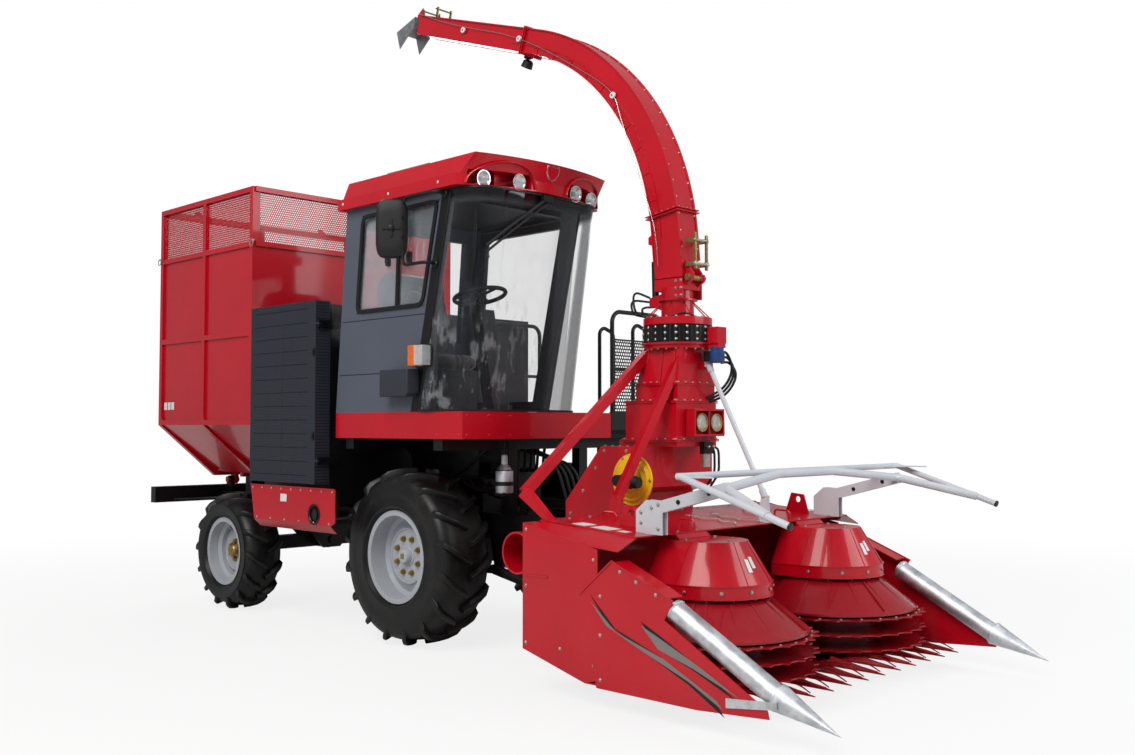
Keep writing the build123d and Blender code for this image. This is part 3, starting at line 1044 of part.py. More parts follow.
def guard_fingers():
    """Row of pointed crop guides under the discs, on one curved bar."""
    fingers = []
    for n in range(FINGER_COUNT):
        y = (n - (FINGER_COUNT - 1) / 2) * FINGER_PITCH
        root = FINGER_TIP_X - FINGER_LENGTH
        base = Wire.make_polygon([Vector(root, y - 42, FINGER_TIP_Z + 10), Vector(root, y + 42, FINGER_TIP_Z + 10),
                                  Vector(root, y + 12, FINGER_TIP_Z + 62), Vector(root, y - 12, FINGER_TIP_Z + 62)])
        tip = Wire.make_polygon([Vector(FINGER_TIP_X, y - 3, FINGER_TIP_Z), Vector(FINGER_TIP_X, y + 3, FINGER_TIP_Z),
                                 Vector(FINGER_TIP_X, y + 2, FINGER_TIP_Z + 5), Vector(FINGER_TIP_X, y - 2, FINGER_TIP_Z + 5)])
        fingers.append(Solid.make_loft([base, tip], ruled=True))
    bar_solid = block((2900, FINGER_TIP_X - FINGER_LENGTH + 20), (-SIDE_HALF + 60, SIDE_HALF - 60),
                      (PAN_Z + SHEET + FIT, PAN_Z + SHEET + 20))
    return bar_solid.fuse(*fingers)


def dividers():
    """Red outer divider panels from the header sides down to the nose."""
    outline = [(2180, 640), (2420, 850), (2860, 670), (2800, 560), (3460, 190), (3470, 150), (3020, 120),
               (2300, 120)]
    panel = side_plate(outline, SIDE_HALF + FIT, SIDE_HALF + FIT + SHEET)
    web = side_plate([(2432, 835), (2820, 676), (2820, 684), (2432, 843)],
                     SIDE_HALF - 120, SIDE_HALF + FIT + SHEET)
    return both_sides(panel.fuse(web))


def divider_noses():
    """Silver tubes lying on the dividers, with pointed tips and straps."""
    y = SIDE_HALF - NOSE_R
    tube = rod((2815, y, 615), (3490, y, 246), NOSE_R)
    start = Vector(3485, y, 250)
    run = Vector(FRONT_REACH, y, 118) - start
    tip = Solid.make_cone(NOSE_R + 14, 0, run.length, Plane(start, z_dir=run))
    outer = SIDE_HALF + SHEET + 2 * FIT
    strap = side_plate([(3210, 165), (3520, 205), (3520, 242), (3210, 215)], outer, outer + 6)
    lug = block((3482, 3516), (y + 20, outer + 6), (208, 234))
    return both_sides(tube.fuse(tip, strap, lug))


def pusher():
    """Bent light-grey tube frame that leans the crop forward, with its gusset plates."""
    arm_z = 1260
    tips = [bent_tube([(2810, y, 1330), (2830, y, 1330), (3530, y * 1.0, 1100)], 19, 60)
            for y in (-1200, 1200)]
    rear = rod((2810, -1200, 1330), (2810, 1200, 1330), 19)
    front = bent_tube([(3400, -1200, 1143), (2960, -960, arm_z), (2860, -300, 1320), (2860, 300, 1320),
                       (2960, 960, arm_z), (3400, 1200, 1143)], 26, 120)
    gussets = [top_plate([(2810, s * 1200), (3050, s * 1195), (2810, s * 1000)], 1326, 1334) for s in (-1, 1)]
    arms = [bar((2440, y, 1120), (2970, y, arm_z), 50, 70) for y in (-960, 960)]
    plates = []
    for y in (-986, -942, 934, 978):
        plates.append(side_plate([(2320, deck_z(2320) + FIT), (2440, deck_z(2440) + FIT), (2520, deck_z(2440)),
                                  (2520, 1170), (2400, 1175), (2320, 1110)], y, y + 8))
    feet = [side_plate([(2330, deck_z(2330) + FIT), (2430, deck_z(2430) + FIT), (2430, deck_z(2430) + 12),
                        (2330, deck_z(2330) + 12)], y - 26, y + 26) for y in (-960, 960)]
    head = block((STAY_X + FIT, STAY_X + 30), (45, 75), (2005, 2045))
    stay = rod((STAY_X + 20, 60, 2025), (2425, 190, 1130), 16)
    stay_foot = side_plate([(2380, deck_z(2380) + FIT), (2450, deck_z(2450) + FIT), (2445, 1150),
                            (2400, 1150)], 174, 206)
    return [rear.fuse(front, *tips, *gussets, *arms, *plates, *feet), stay.fuse(head, stay_foot)]


def lifting_ears():
    """Lifting eyes on the deck."""
    ears = []
    for s in (-1, 1):
        plate = side_plate([(2110, deck_z(2110) - 4), (2300, deck_z(2300) - 4), (2260, 1120), (2160, 1130)],
                           s * EAR_Y - 8, s * EAR_Y + 8)
        ears.append(plate.cut(rod((EAR_X, s * EAR_Y - 20, EAR_Z), (EAR_X, s * EAR_Y + 20, EAR_Z), EAR_R)))
    return ears


def chopper():
    """Feed and chopper housing behind the header, with its sloped lid."""
    case = side_plate([(HEADER_REAR - FIT, 330), (HEADER_REAR - FIT, 1150), (1850, 1200), (1850, 1470),
                       (1470, 1470), (1130, 1080), (1130, 960), (TUBE_X + 150, 960),
                       (TUBE_X + 150, 620), (1590, 330)], -CHOPPER_HALF, CHOPPER_HALF)
    return case


def tower():
    """Blower tower: red case, tapering hood, ring plate, slewing motor and the braces."""
    base = block((1500, TOWER_FRONT), (-TOWER_HALF, TOWER_HALF), (1470 + FIT, 1510))
    case = block((1560, TOWER_FRONT), (-TOWER_HALF, TOWER_HALF), (1500, 1770))
    upper = block((1640, TOWER_FRONT), (-TOWER_HALF + 15, TOWER_HALF - 15), (1760, HOOD_Z))
    sections = [Wire.make_polygon([Vector(x, y, z) for x, y in ((a, -d), (b, -d), (b, d), (a, d))])
                for a, b, d, z in ((1650, TOWER_FRONT, TOWER_HALF - 15, HOOD_Z - 2),
                                   (TOWER_X - 165, TOWER_X + 165, 165, RING_BOTTOM - 30))]
    hood = Solid.make_loft(sections, ruled=True)
    cap = rod((TOWER_X, 0, RING_BOTTOM - 40), (TOWER_X, 0, RING_BOTTOM), RING_R - 10)
    shelf = block((TOWER_X + 150, TOWER_X + 330), (20, 100), (RING_BOTTOM - 40, RING_BOTTOM - 4))
    motor = block((TOWER_X + RING_R + 8, TOWER_X + 330), (10, 110), (RING_BOTTOM - 10, RING_TOP - 20))
    drive = rod((TOWER_X + 290, 60, RING_BOTTOM - 130), (TOWER_X + 290, 60, RING_BOTTOM - 30), 24)
    lug = block((TOWER_X + 140, STAY_X), (40, 80), (1990, 2050))
    return base.fuse(case, upper, hood, cap, shelf, motor, drive, lug, *tower_braces())


def slewing_ring():
    """Toothed black ring the spout turns on."""
    points = []
    teeth = 48
    for n in range(teeth):
        for share, r in ((0, RING_R - 9), (0.3, RING_R), (0.6, RING_R), (0.9, RING_R - 9)):
            angle = 2 * math.pi * (n + share) / teeth
            points.append((TOWER_X + r * math.cos(angle), r * math.sin(angle)))
    ring = prism([(x, y, RING_BOTTOM + FIT) for x, y in points], (0, 0, RING_TOP - RING_BOTTOM - RUN_GAP))
    return ring.cut(rod((TOWER_X, 0, RING_BOTTOM - 10), (TOWER_X, 0, RING_TOP + 10), 115))


def tower_braces():
    """Square braces from the header frame up to the tower with their feet on the deck."""
    near = bar((1500, -1115, 1185), (1700, -140, 2110), 60, 60)
    near_foot = side_plate([(1475, 1165), (1700, deck_z(1700) + FIT), (1760, deck_z(1760) + FIT),
                            (1530, 1215)], -1145, -1085)
    front = bar((1821, -600, 1130), (1980, -125, 2100), 56, 56)
    front_foot = side_plate([(1770, deck_z(1770) + FIT), (1860, deck_z(1860) + FIT), (1850, 1160),
                             (1795, 1160)], -628, -572)
    return [near, near_foot, front, front_foot]


def tower_lamps():
    """Twin round lamps in a box on the tower's front."""
    box_solid = block((TOWER_FRONT + FIT, TOWER_FRONT + 75), (-115, 205), (1540, 1720))
    lamps = [Solid.make_cone(58, 66, 30, Plane((TOWER_FRONT + 75, y, 1630), z_dir=(1, 0, 0))) for y in (-40, 130)]
    return box_solid.fuse(*lamps)


def guard_disc():
    """Yellow drive guard on the right of the chopper."""
    y = -CHOPPER_HALF - FIT
    disc = rod((1760, y - 60, 1250), (1760, y, 1250), 170)
    return disc.fuse(rod((1760, y - 170, 1250), (1760, y - 50, 1250), 45))


def spout_path():
    """Centre line of the spout: neck, one long bend and the reach, as (x, z, heading)."""
    angle = math.radians(NECK_HEADING)
    x, z = TOWER_X, FOLD_Z
    stations = [(x, z, angle)]
    x, z = x + NECK_LENGTH * math.cos(angle), z + NECK_LENGTH * math.sin(angle)
    stations.append((x, z, angle))
    centre = (x - BEND_RADIUS * math.sin(angle), z + BEND_RADIUS * math.cos(angle))
    for share in (0.5, 1.0):
        a = angle + math.radians(BEND_ANGLE) * share
        stations.append((centre[0] + BEND_RADIUS * math.sin(a), centre[1] - BEND_RADIUS * math.cos(a), a))
    end = stations[-1]
    stations.append((end[0] + REACH_LENGTH * math.cos(end[2]), end[1] + REACH_LENGTH * math.sin(end[2]), end[2]))
    return stations


def duct(inset, gap):
    """Spout duct as a side outline of arcs and lines, pushed across its width."""
    base, low, mid, high, end = spout_path()
    depth = {0: SPOUT_DEPTHS[0], 1: SPOUT_DEPTHS[0], 2: (SPOUT_DEPTHS[0] + SPOUT_DEPTHS[1]) / 2,
             3: SPOUT_DEPTHS[1], 4: SPOUT_DEPTHS[2]}
    sides = []
    for side in (1, -1):
        row = []
        for n, (x, z, a) in enumerate((base, low, mid, high, end)):
            off = side * (depth[n] / 2 - inset)
            row.append(Vector(x + off * math.sin(a), -SPOUT_WIDTH / 2 + inset, z - off * math.cos(a)))
        row[0] = Vector(row[0].X, row[0].Y, FOLD_Z + gap)
        sides.append(row)
    out, inn = sides
    edges = [Edge.make_line(out[0], out[1]), Edge.make_three_point_arc(out[1], out[2], out[3]),
             Edge.make_line(out[3], out[4]), Edge.make_line(out[4], inn[4]), Edge.make_line(inn[4], inn[3]),
             Edge.make_three_point_arc(inn[3], inn[2], inn[1]), Edge.make_line(inn[1], inn[0]),
             Edge.make_line(inn[0], out[0])]
    return Solid.extrude(Face(Wire(edges)), Vector(0, SPOUT_WIDTH - 2 * inset, 0))


def flap_hinge():
    """Flap pin just past the upper edge of the boom's mouth, as (x, z)."""
    x, z, a = spout_path()[-1]
    up = SPOUT_DEPTHS[2] / 2 - 8
    return (x + up * math.sin(a) + 22 * math.cos(a), z - up * math.cos(a) + 22 * math.sin(a))


def spout_boom():
    """Hollow spout boom with its foot flange and hinge ears."""
    outer = duct(0, RUN_GAP)
    inner = duct(SPOUT_WALL, -20)
    end = spout_path()[-1]
    mouth = rod((end[0], -SPOUT_WIDTH / 2 + SPOUT_WALL, end[1] - 0), (end[0], SPOUT_WIDTH / 2 - SPOUT_WALL, end[1]),
                SPOUT_DEPTHS[2] / 2 - SPOUT_WALL)
    outer = outer.cut(inner, mouth)
    foot = FOLD_Z + RUN_GAP
    ear = side_plate([(TOWER_X + 110, foot + 4), (HINGE_X - 20, foot + 4), (HINGE_X - 20, FOLD_Z - 20),
                      (HINGE_X + 22, FOLD_Z - 20), (HINGE_X + 22, FOLD_Z + 30), (TOWER_X + 110, foot + 120)], 36, 54)
    ear = ear.cut(rod((HINGE_X, 0, FOLD_Z), (HINGE_X, 90, FOLD_Z), 12 + FIT))
    hinge = flap_hinge()
    lug = side_plate([(hinge[0] - 16, hinge[1] + 14), (hinge[0] + 60, hinge[1] + 60), (hinge[0] + 60, hinge[1] + 10),
                      (hinge[0] + 6, hinge[1] - 14), (hinge[0] - 16, hinge[1] - 14)],
                     SPOUT_WIDTH / 2 - SPOUT_WALL, SPOUT_WIDTH / 2)
    pin = rod((hinge[0], -SPOUT_WIDTH / 2, hinge[1]), (hinge[0], SPOUT_WIDTH / 2, hinge[1]), 8)
    lift = side_plate([(FOLD_EYE[0] - 24, FOLD_EYE[1] - 24), (FOLD_EYE[0] + 70, FOLD_EYE[1] - 60),
                       (FOLD_EYE[0] + 62, FOLD_EYE[1] + 70), (FOLD_EYE[0] - 24, FOLD_EYE[1] + 24)], 28, 38)
    return outer.fuse(*both_sides(ear), *both_sides(lug), *both_sides(lift), pin)


def spout_base():
    """Turning neck: ring plate, round tube and square foot of the fold joint."""
    plate = rod((TOWER_X, 0, RING_TOP), (TOWER_X, 0, RING_TOP + 50), RING_R - 5)
    neck = rod((TOWER_X, 0, RING_TOP + 40), (TOWER_X, 0, FOLD_Z - 60), 112)
    top = block((TOWER_X - 125, TOWER_X + 125), (-SPOUT_WIDTH / 2, SPOUT_WIDTH / 2), (FOLD_Z - 80, FOLD_Z))
    bore = rod((TOWER_X, 0, RING_TOP - 10), (TOWER_X, 0, FOLD_Z + 10), 90)
    journal = rod((TOWER_X, 0, RING_BOTTOM + 30), (TOWER_X, 0, RING_TOP + 10), 115 - FIT)
    body = plate.fuse(neck, top, journal).cut(bore)
    ear = side_plate([(TOWER_X + 100, FOLD_Z - 70), (HINGE_X + 24, FOLD_Z - 24), (HINGE_X + 24, FOLD_Z + 24),
                      (HINGE_X - 10, FOLD_Z + 24), (HINGE_X - 24, FOLD_Z - 2), (TOWER_X + 100, FOLD_Z - 2)], 60, 76)
    pin = rod((HINGE_X, -80, FOLD_Z), (HINGE_X, 80, FOLD_Z), 12)
    rear = side_plate([(FOLD_BASE[0] - 26, FOLD_BASE[1] - 26), (TOWER_X - 100, FOLD_BASE[1] - 70),
                       (TOWER_X - 100, FOLD_BASE[1] + 50), (FOLD_BASE[0] - 26, FOLD_BASE[1] + 26)], 28, 38)
    rear_pin = rod((FOLD_BASE[0], -36, FOLD_BASE[1]), (FOLD_BASE[0], 36, FOLD_BASE[1]), 10)
    return body.fuse(*both_sides(ear), *both_sides(rear), pin, rear_pin)


def spout_flap():
    """Deflector flap on the pin at the boom's mouth: top plate, two cheeks and the pin's eye."""
    hx, hz = flap_hinge()
    tilt = spout_path()[-1][2] + math.radians(FLAP_TILT)
    along = (math.cos(tilt), math.sin(tilt))
    under = (math.sin(tilt), -math.cos(tilt))

    def at(run, drop):
        return (hx + run * along[0] - drop * under[0], hz + run * along[1] - drop * under[1])

    half = SPOUT_WIDTH / 2
    plate = side_plate([at(28, -12), at(FLAP_LENGTH, -12), at(FLAP_LENGTH, -6), at(28, -6)],
                       -half - 14, half + 14)
    tongue = side_plate([at(4, -12), at(40, -12), at(40, -6), at(4, -6)], -half + 11, half - 11)
    cheek = side_plate([at(28, -12), at(FLAP_LENGTH, -12), at(FLAP_LENGTH, 150), at(60, 60)],
                       half + 8, half + 14)
    eye = rod((hx, -half + SPOUT_WALL + PIN_GAP, hz), (hx, half - SPOUT_WALL - PIN_GAP, hz), 14)
    bore = rod((hx, -half, hz), (hx, half, hz), 8 + FIT)
    return plate.fuse(tongue, *both_sides(cheek), eye).cut(bore)


def cylinder(base, eye, y, half, barrel_r, rod_r, pin_r, share):
    """Hydraulic cylinder between two (x, z) points: barrel on its pin, and rod with an open eye."""
    a, b = Vector(base[0], y, base[1]), Vector(eye[0], y, eye[1])
    run = b - a
    unit = run.normalized()
    tube = rod(a + unit * (pin_r + 8), a + unit * (run.length * share), barrel_r)
    cap = rod((base[0], y - half, base[1]), (base[0], y + half, base[1]), pin_r + 16)
    hollow = rod(a + unit * (pin_r + 40), b, rod_r + FIT)
    barrel = tube.fuse(cap).cut(rod((base[0], y - 99, base[1]), (base[0], y + 99, base[1]), pin_r + FIT), hollow)
    stem = rod(a + unit * (run.length * (share - 0.12)), b - unit * (pin_r + 4), rod_r)
    ring = rod((eye[0], y - half, eye[1]), (eye[0], y + half, eye[1]), pin_r + 14)
    stem = stem.fuse(ring).cut(rod((eye[0], y - 99, eye[1]), (eye[0], y + 99, eye[1]), pin_r))
    return barrel, stem


def cylinders():
    """Tipping, header lift and spout fold cylinders by node name."""
    tank = cylinder(TANK_BASE, TANK_EYE, CYLINDER_Y, 27, 40, 24, CYLINDER_PIN_R, 0.72)
    lift = cylinder(LIFT_BASE, LIFT_EYE, CYLINDER_Y, 27, 36, 22, CYLINDER_PIN_R, 0.66)
    fold = cylinder(FOLD_BASE, FOLD_EYE, 0, 26, 24, 13, 10, 0.66)
    return {"tank_barrels": both_sides(tank[0]), "tank_rods": both_sides(tank[1]),
            "lift_barrels": both_sides(lift[0]), "lift_rods": both_sides(lift[1]),
            "fold_barrel": fold[0], "fold_rod": fold[1]}


def write(name, shape):
    """Move one piece to the shared origin and write its file."""
    solids = shape if isinstance(shape, list) else [shape]
    moved = Compound(children=[Pos(-CENTRE_X, 0, 0) * s for s in solids]) if len(solids) > 1 \
        else Pos(-CENTRE_X, 0, 0) * solids[0]
    export_step(moved, "parts/" + name + ".step")


def build():
    """Every piece of the machine by name."""
    pieces = {}
    pieces.update(front_wheels())
    pieces.update(rear_wheels())
    pieces.update(cylinders())
    knuckle = rear_knuckle()
    door, pane = cab_door()
    base, squab, back = seat()
    one = drum()
    pieces.update({
        "front_axle": front_axle(),
        "rear_axle": rear_axle(),
        "rear_knuckle_left": knuckle,
        "rear_knuckle_right": mirror_y(knuckle),
        "main_frame": main_frame().fuse(*cab_mounts()),
        "rear_bumper": rear_bumper(),
        "engine_block": [engine(), radiator_core(), exhaust()],
        "engine_bay": engine_bay(),
        "radiator_screen": radiator_screen(),
        "side_panels": skirt_panels(),
        "cab_floor": cab_floor(),
        "cab_shell": cab_shell(),
        "cab_frame": cab_frame(),
        "cab_door": door,
        "door_glass": pane,
        "cab_windows": cab_windows(),
        "windscreen": windscreen(),
        "cab_roof": cab_roof(),
        "roof_lamps": roof_lamps(),
        "air_unit": air_unit(),
        "cab_interior": [base, steering_column(), side_console()],
        "seat_cushions": [squab, back],
        "cab_fittings": cab_fittings(),
        "platform": platform(),
        "drive_line": [gearbox(), canister()],
        "fuel_tank": fuel_tank(),
        "tank_body": tank_body(),
        "tank_screens": tank_screens(),
        "tailgate": tailgate(),
        "header_frame": header_frame(),
        "drum_covers": drum_covers(),
        "drum_right": Pos(DRUM_X, -DRUM_Y, 0) * one,
        "drum_left": Pos(DRUM_X, DRUM_Y, 0) * mirror_y(one),
        "guard_fingers": guard_fingers(),
        "dividers": dividers(),
        "divider_noses": divider_noses(),
        "pusher_frame": pusher(),
        "chopper": chopper(),
        "tower": tower(),
        "slewing_ring": slewing_ring(),
        "tower_lamps": tower_lamps(),
        "guard_disc": guard_disc(),
        "spout_base": spout_base(),
        "spout_boom": spout_boom(),
        "spout_flap": spout_flap(),
    })
    return pieces


os.makedirs("parts", exist_ok=True)
for piece_name, piece_shape in build().items():
    write(piece_name, piece_shape)
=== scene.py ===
import math

import bmesh
import bpy
import numpy as np
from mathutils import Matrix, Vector


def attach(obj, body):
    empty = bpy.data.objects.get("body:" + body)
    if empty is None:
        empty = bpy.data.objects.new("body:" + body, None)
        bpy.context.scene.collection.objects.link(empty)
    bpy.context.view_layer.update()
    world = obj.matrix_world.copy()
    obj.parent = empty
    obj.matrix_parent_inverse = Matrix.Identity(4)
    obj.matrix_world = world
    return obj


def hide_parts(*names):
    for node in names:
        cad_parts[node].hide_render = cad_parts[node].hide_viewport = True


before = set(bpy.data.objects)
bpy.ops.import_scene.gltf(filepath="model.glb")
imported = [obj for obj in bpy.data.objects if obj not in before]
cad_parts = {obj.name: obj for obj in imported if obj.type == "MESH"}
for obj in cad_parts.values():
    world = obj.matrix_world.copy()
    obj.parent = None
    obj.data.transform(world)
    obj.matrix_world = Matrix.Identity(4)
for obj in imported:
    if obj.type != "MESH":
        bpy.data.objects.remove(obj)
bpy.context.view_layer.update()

bl_info = {
    "name": "Forage harvester looks",
    "version": (1, 0, 0),
    "blender": (4, 5, 0),
    "location": "3D View > Sidebar > Harvester",
    "description": "Dresses the packed forage harvester: finishes, tyres, glass, lamps, header and spout fittings",
    "category": "Object",
}

# Lengths are millimetres, x from the front axle, y from the middle and z from the ground. The frame's own origin
# lies AXLE_SHIFT metres in front of the axle.
AXLE_SHIFT = 0.055
CAB_RIGHT, CAB_LEFT, CAB_MID = -1090, 200, -445
CAB_FLOOR, CAB_TOP = 1707, 3250
TOWER_X, RING_BOTTOM, RING_TOP = 1845, 2170, 2290
FOLD_Z, HINGE_X = 2610, 2000
DRUM_X, DRUM_Y, COVER_R = 2620, 640, 353
SIDE_HALF, DIVIDER_FACE = 1300, 1308.3
GUARD_X, GUARD_Y, GUARD_Z = 1760, -371, 1250
# Each wheel: end, side's name and sign, hub x and z, wheel y, tyre radius and width, rim radius, lugs, disc y, hub
# radius, nuts
WHEELS = [(end, name, side, *sizes)
          for end, *sizes in (("front", 0, 650, 805, 650, 450, 340, 16, 875, 160, 8),
                              ("rear", -2450, 510, 880, 510, 350, 295, 14, 900, 95, 6))
          for name, side in (("left", 1), ("right", -1))]
# The camera solved for the photo: place in metres, lens in millimetres, view direction in degrees
CAMERA_AT, CAMERA_LENS, CAMERA_AZIMUTH, CAMERA_ELEVATION = (6.692, -6.067, 1.604), 35.99, 44.50, -2.47


def metres(points):
    """Millimetres from the front axle to metres in the frame: divide by 1000 and shift x."""
    return np.asarray(points, float) / 1000 - (AXLE_SHIFT, 0, 0)


def linear(code):
    """A colour written as six hex digits, as the linear values that a shader takes."""
    c = np.array([int(code[n:n + 2], 16) for n in (0, 2, 4)]) / 255
    return tuple(np.where(c < 0.04045, c / 12.92, ((c + 0.055) / 1.055) ** 2.4)) + (1.0,)


def unit(v):
    """Vectors divided by their length."""
    return v / np.maximum(np.linalg.norm(v, axis=-1, keepdims=True), 1e-9)


def rounded(points, radius, steps=5):
    """A line of points whose corners are quadratic arcs that start and end one radius away."""
    p = np.asarray(points, float)
    out = [p[:1]]
    t = np.linspace(0, 1, steps)[:, None]
    for before, corner, after in zip(p[:-2], p[1:-1], p[2:]):
        a, b = before - corner, after - corner
        start = corner + unit(a) * min(radius, np.linalg.norm(a) * 0.49)
        end = corner + unit(b) * min(radius, np.linalg.norm(b) * 0.49)
        out.append((1 - t) ** 2 * start + 2 * t * (1 - t) * corner + t ** 2 * end)
    return np.concatenate(out + [p[-1:]])


def rounded_loop(points, radius, steps=5):
    """A closed line with every corner rounded, from the middle of its first edge; the repeated end is dropped."""
    p = [np.asarray(v, float) for v in points]
    start = (p[0] + p[1]) / 2
    return rounded([start] + p[1:] + [p[0], start], radius, steps)[:-1]


def bar(half, low, high):
    """Section of a flat bar: its four corners from -half to half across and from low to high."""
    return [(-half, low), (half, low), (half, high), (-half, high)]


def full_turn(count):
    """Equal angles once round, without the repeated end."""
    return np.linspace(0, 2 * math.pi, count, endpoint=False)


def circle(centre, radius, turn, flat=True):
    """Points centre + radius (cos w, sin w), in the x-y plane when flat and else in the x-z plane."""
    c, s = radius * np.cos(turn), radius * np.sin(turn)
    return np.asarray(centre, float) + np.stack([c, s, 0 * c] if flat else [c, 0 * c, s], -1)


def blunt(turn, power):
    """Cosine and sine drawn out towards a square: their signs times their sizes to a power below 1."""
    return [np.sign(k) * np.abs(k) ** power for k in (np.cos(turn), np.sin(turn))]


def arc(a, b, c, count):
    """Points on the circle through three points: the centre from the two chords, then equal turns."""
    a, b, c = (np.asarray(v, float) for v in (a, b, c))
    u, v = b - a, c - a
    n = np.cross(u, v)
    centre = a + (np.dot(v, v) * np.cross(n, u) + np.dot(u, u) * np.cross(v, n)) / (2 * np.dot(n, n))
    x = a - centre
    y = np.cross(unit(n), x)
    rel = c - centre
    turn = math.atan2(np.dot(rel, y), np.dot(rel, x)) % (2 * math.pi)
    w = np.linspace(0, turn, count)[:, None]
    return centre + x * np.cos(w) + y * np.sin(w)


class Shape:
    """Surfaces gathered into one mesh. A mark says which of the piece's finishes a surface has."""

    def __init__(self):
        self.points, self.faces, self.marks, self.count = [], [], [], 0

    def take(self, points, faces, mark=0):
        """Adds points and the faces that name them, counted from zero."""
        self.points.append(np.asarray(points, float).reshape(-1, 3))
        self.faces += (np.asarray(faces) + self.count).tolist()
        self.marks += [mark] * len(faces)
        self.count += len(self.points[-1])

    def grid(self, points, wrap_u=False, wrap_v=False, mark=0):
        """A surface P(u, v) on a grid: each face joins (u, v), (u, v+1), (u+1, v+1) and (u+1, v)."""
        m, n = points.shape[:2]
        index = np.arange(m * n).reshape(m, n)
        rows, cols = m if wrap_u else m - 1, n if wrap_v else n - 1
        a, d = index[:rows], np.roll(index, -1, 0)[:rows]
        b, c = np.roll(a, -1, 1)[:, :cols], np.roll(d, -1, 1)[:, :cols]
        self.take(points, np.stack([a[:, :cols], b, c, d[:, :cols]], -1).reshape(-1, 4), mark)

    def ends(self, points, mark=0):
        """Closes the first and last ring of a grid with one flat face each."""
        for ring in (points[0], points[-1]):
            self.take(ring, [list(range(len(ring)))], mark)

    def prism(self, rings, mark=0):
        """Walls between rings of points, with the first and the last ring closed."""
        self.grid(rings, wrap_v=True, mark=mark)
        self.ends(rings, mark)

    def sweep(self, profile, path, closed=False, mark=0, level=None):
        """A flat profile (a, b) carried along a path: P(s, k) = path(s) + a(k) side(s) + b(k) up(s).

        The side is square to the path and to the level direction, which is else the path's flattest one."""
        path = np.asarray(path, float)
        if closed:
            tangent = unit(np.roll(path, -1, 0) - np.roll(path, 1, 0))
        else:
            tangent = unit(np.gradient(path, axis=0))
        if level is None:
            level = np.linalg.svd(path - path.mean(0), full_matrices=True)[2][-1]
        side = unit(np.cross(tangent, np.asarray(level, float)))
        up = np.cross(side, tangent)
        profile = np.asarray(profile, float)
        if profile.ndim == 2:
            profile = np.broadcast_to(profile, (len(path),) + profile.shape)
        points = path[:, None] + profile[..., :1] * side[:, None] + profile[..., 1:] * up[:, None]
        self.grid(points, wrap_u=closed, wrap_v=True, mark=mark)
        if not closed:
            self.ends(points, mark)

    def tube(self, path, radius, sides=12, closed=False, mark=0):
        """A round bar: a circle of that radius carried along the path."""
        ring = circle((0, 0, 0), 1, full_turn(sides))[:, :2]
        radius = np.broadcast_to(np.asarray(radius, float), (len(path),))
        self.sweep(radius[:, None, None] * ring, path, closed, mark)

    def pipe(self, points, bend, steps, radius, sides=10, mark=0):
        """A tube along a line of points whose corners are rounded by the bend."""
        self.tube(rounded(points, bend, steps), radius, sides, mark=mark)

    def lathe(self, profile, origin, axis, sides=48, mark=0):
        """A profile (radius, height) turned about an axis: P(w, k) = origin + r(cos w e1 + sin w e2) + h axis."""
        axis = unit(np.asarray(axis, float))
        e1 = unit(np.cross(axis, (0, 0, 1) if abs(axis[2]) < 0.9 else (1, 0, 0)))
        e2 = np.cross(axis, e1)
        w = full_turn(sides)[:, None, None]
        p = np.asarray(profile, float)
        r, h = p[None, :, :1], p[None, :, 1:]
        points = np.asarray(origin, float) + r * (np.cos(w) * e1 + np.sin(w) * e2) + h * axis
        self.grid(points, wrap_u=True, mark=mark)

    def pin(self, at, axis, radius, low, high, sides, mark=0):
        """A plain pin on an axis, from low to high along it."""
        self.lathe([(0, low), (radius, low), (radius, high), (0, high)], at, axis, sides, mark)

    def slab(self, outline, axis, low, high, mark=0):
        """A flat outline pushed along one axis, from low to high."""
        o = np.asarray(outline, float)
        self.prism(np.stack([np.insert(o, axis, low, 1), np.insert(o, axis, high, 1)]), mark)

    def block(self, x, y, z, mark=0):
        """A box from three (low, high) pairs; the piece's bevel rounds its edges."""
        self.slab([(x[0], y[0]), (x[1], y[0]), (x[1], y[1]), (x[0], y[1])], 2, z[0], z[1], mark)

    def skin(self, corners, lift, thick, mark=0):
        """A thin patch on four corners, lifted off along its own normal."""
        c = np.asarray(corners, float)
        n = unit(np.cross(c[1] - c[0], c[3] - c[0]))
        self.prism(np.stack([c + n * lift, c + n * (lift + thick)]), mark)

    def repeat(self, other, origins, axes=None, mark=0):
        """Copies of another shape at many origins, each with its z turned to an axis, in one array sum."""
        p, o = np.concatenate(other.points), np.asarray(origins, float).reshape(-1, 3)
        z = unit(np.broadcast_to(np.asarray((0, 0, 1) if axes is None else axes, float), o.shape))
        hint = np.where(np.abs(z[:, 2:]) < 0.9, (0.0, 0.0, 1.0), (1.0, 0.0, 0.0))
        x = unit(np.cross(hint, z))
        y = np.cross(z, x)
        spots = (o[:, None] + p[None, :, :1] * x[:, None] + p[None, :, 1:2] * y[:, None]
                 + p[None, :, 2:] * z[:, None])
        for shift in range(self.count, self.count + spots.size // 3, len(p)):
            self.faces += [[i + shift for i in face] for face in other.faces]
            self.marks += [mark] * len(other.faces)
        self.points.append(spots.reshape(-1, 3))
        self.count += spots.size // 3

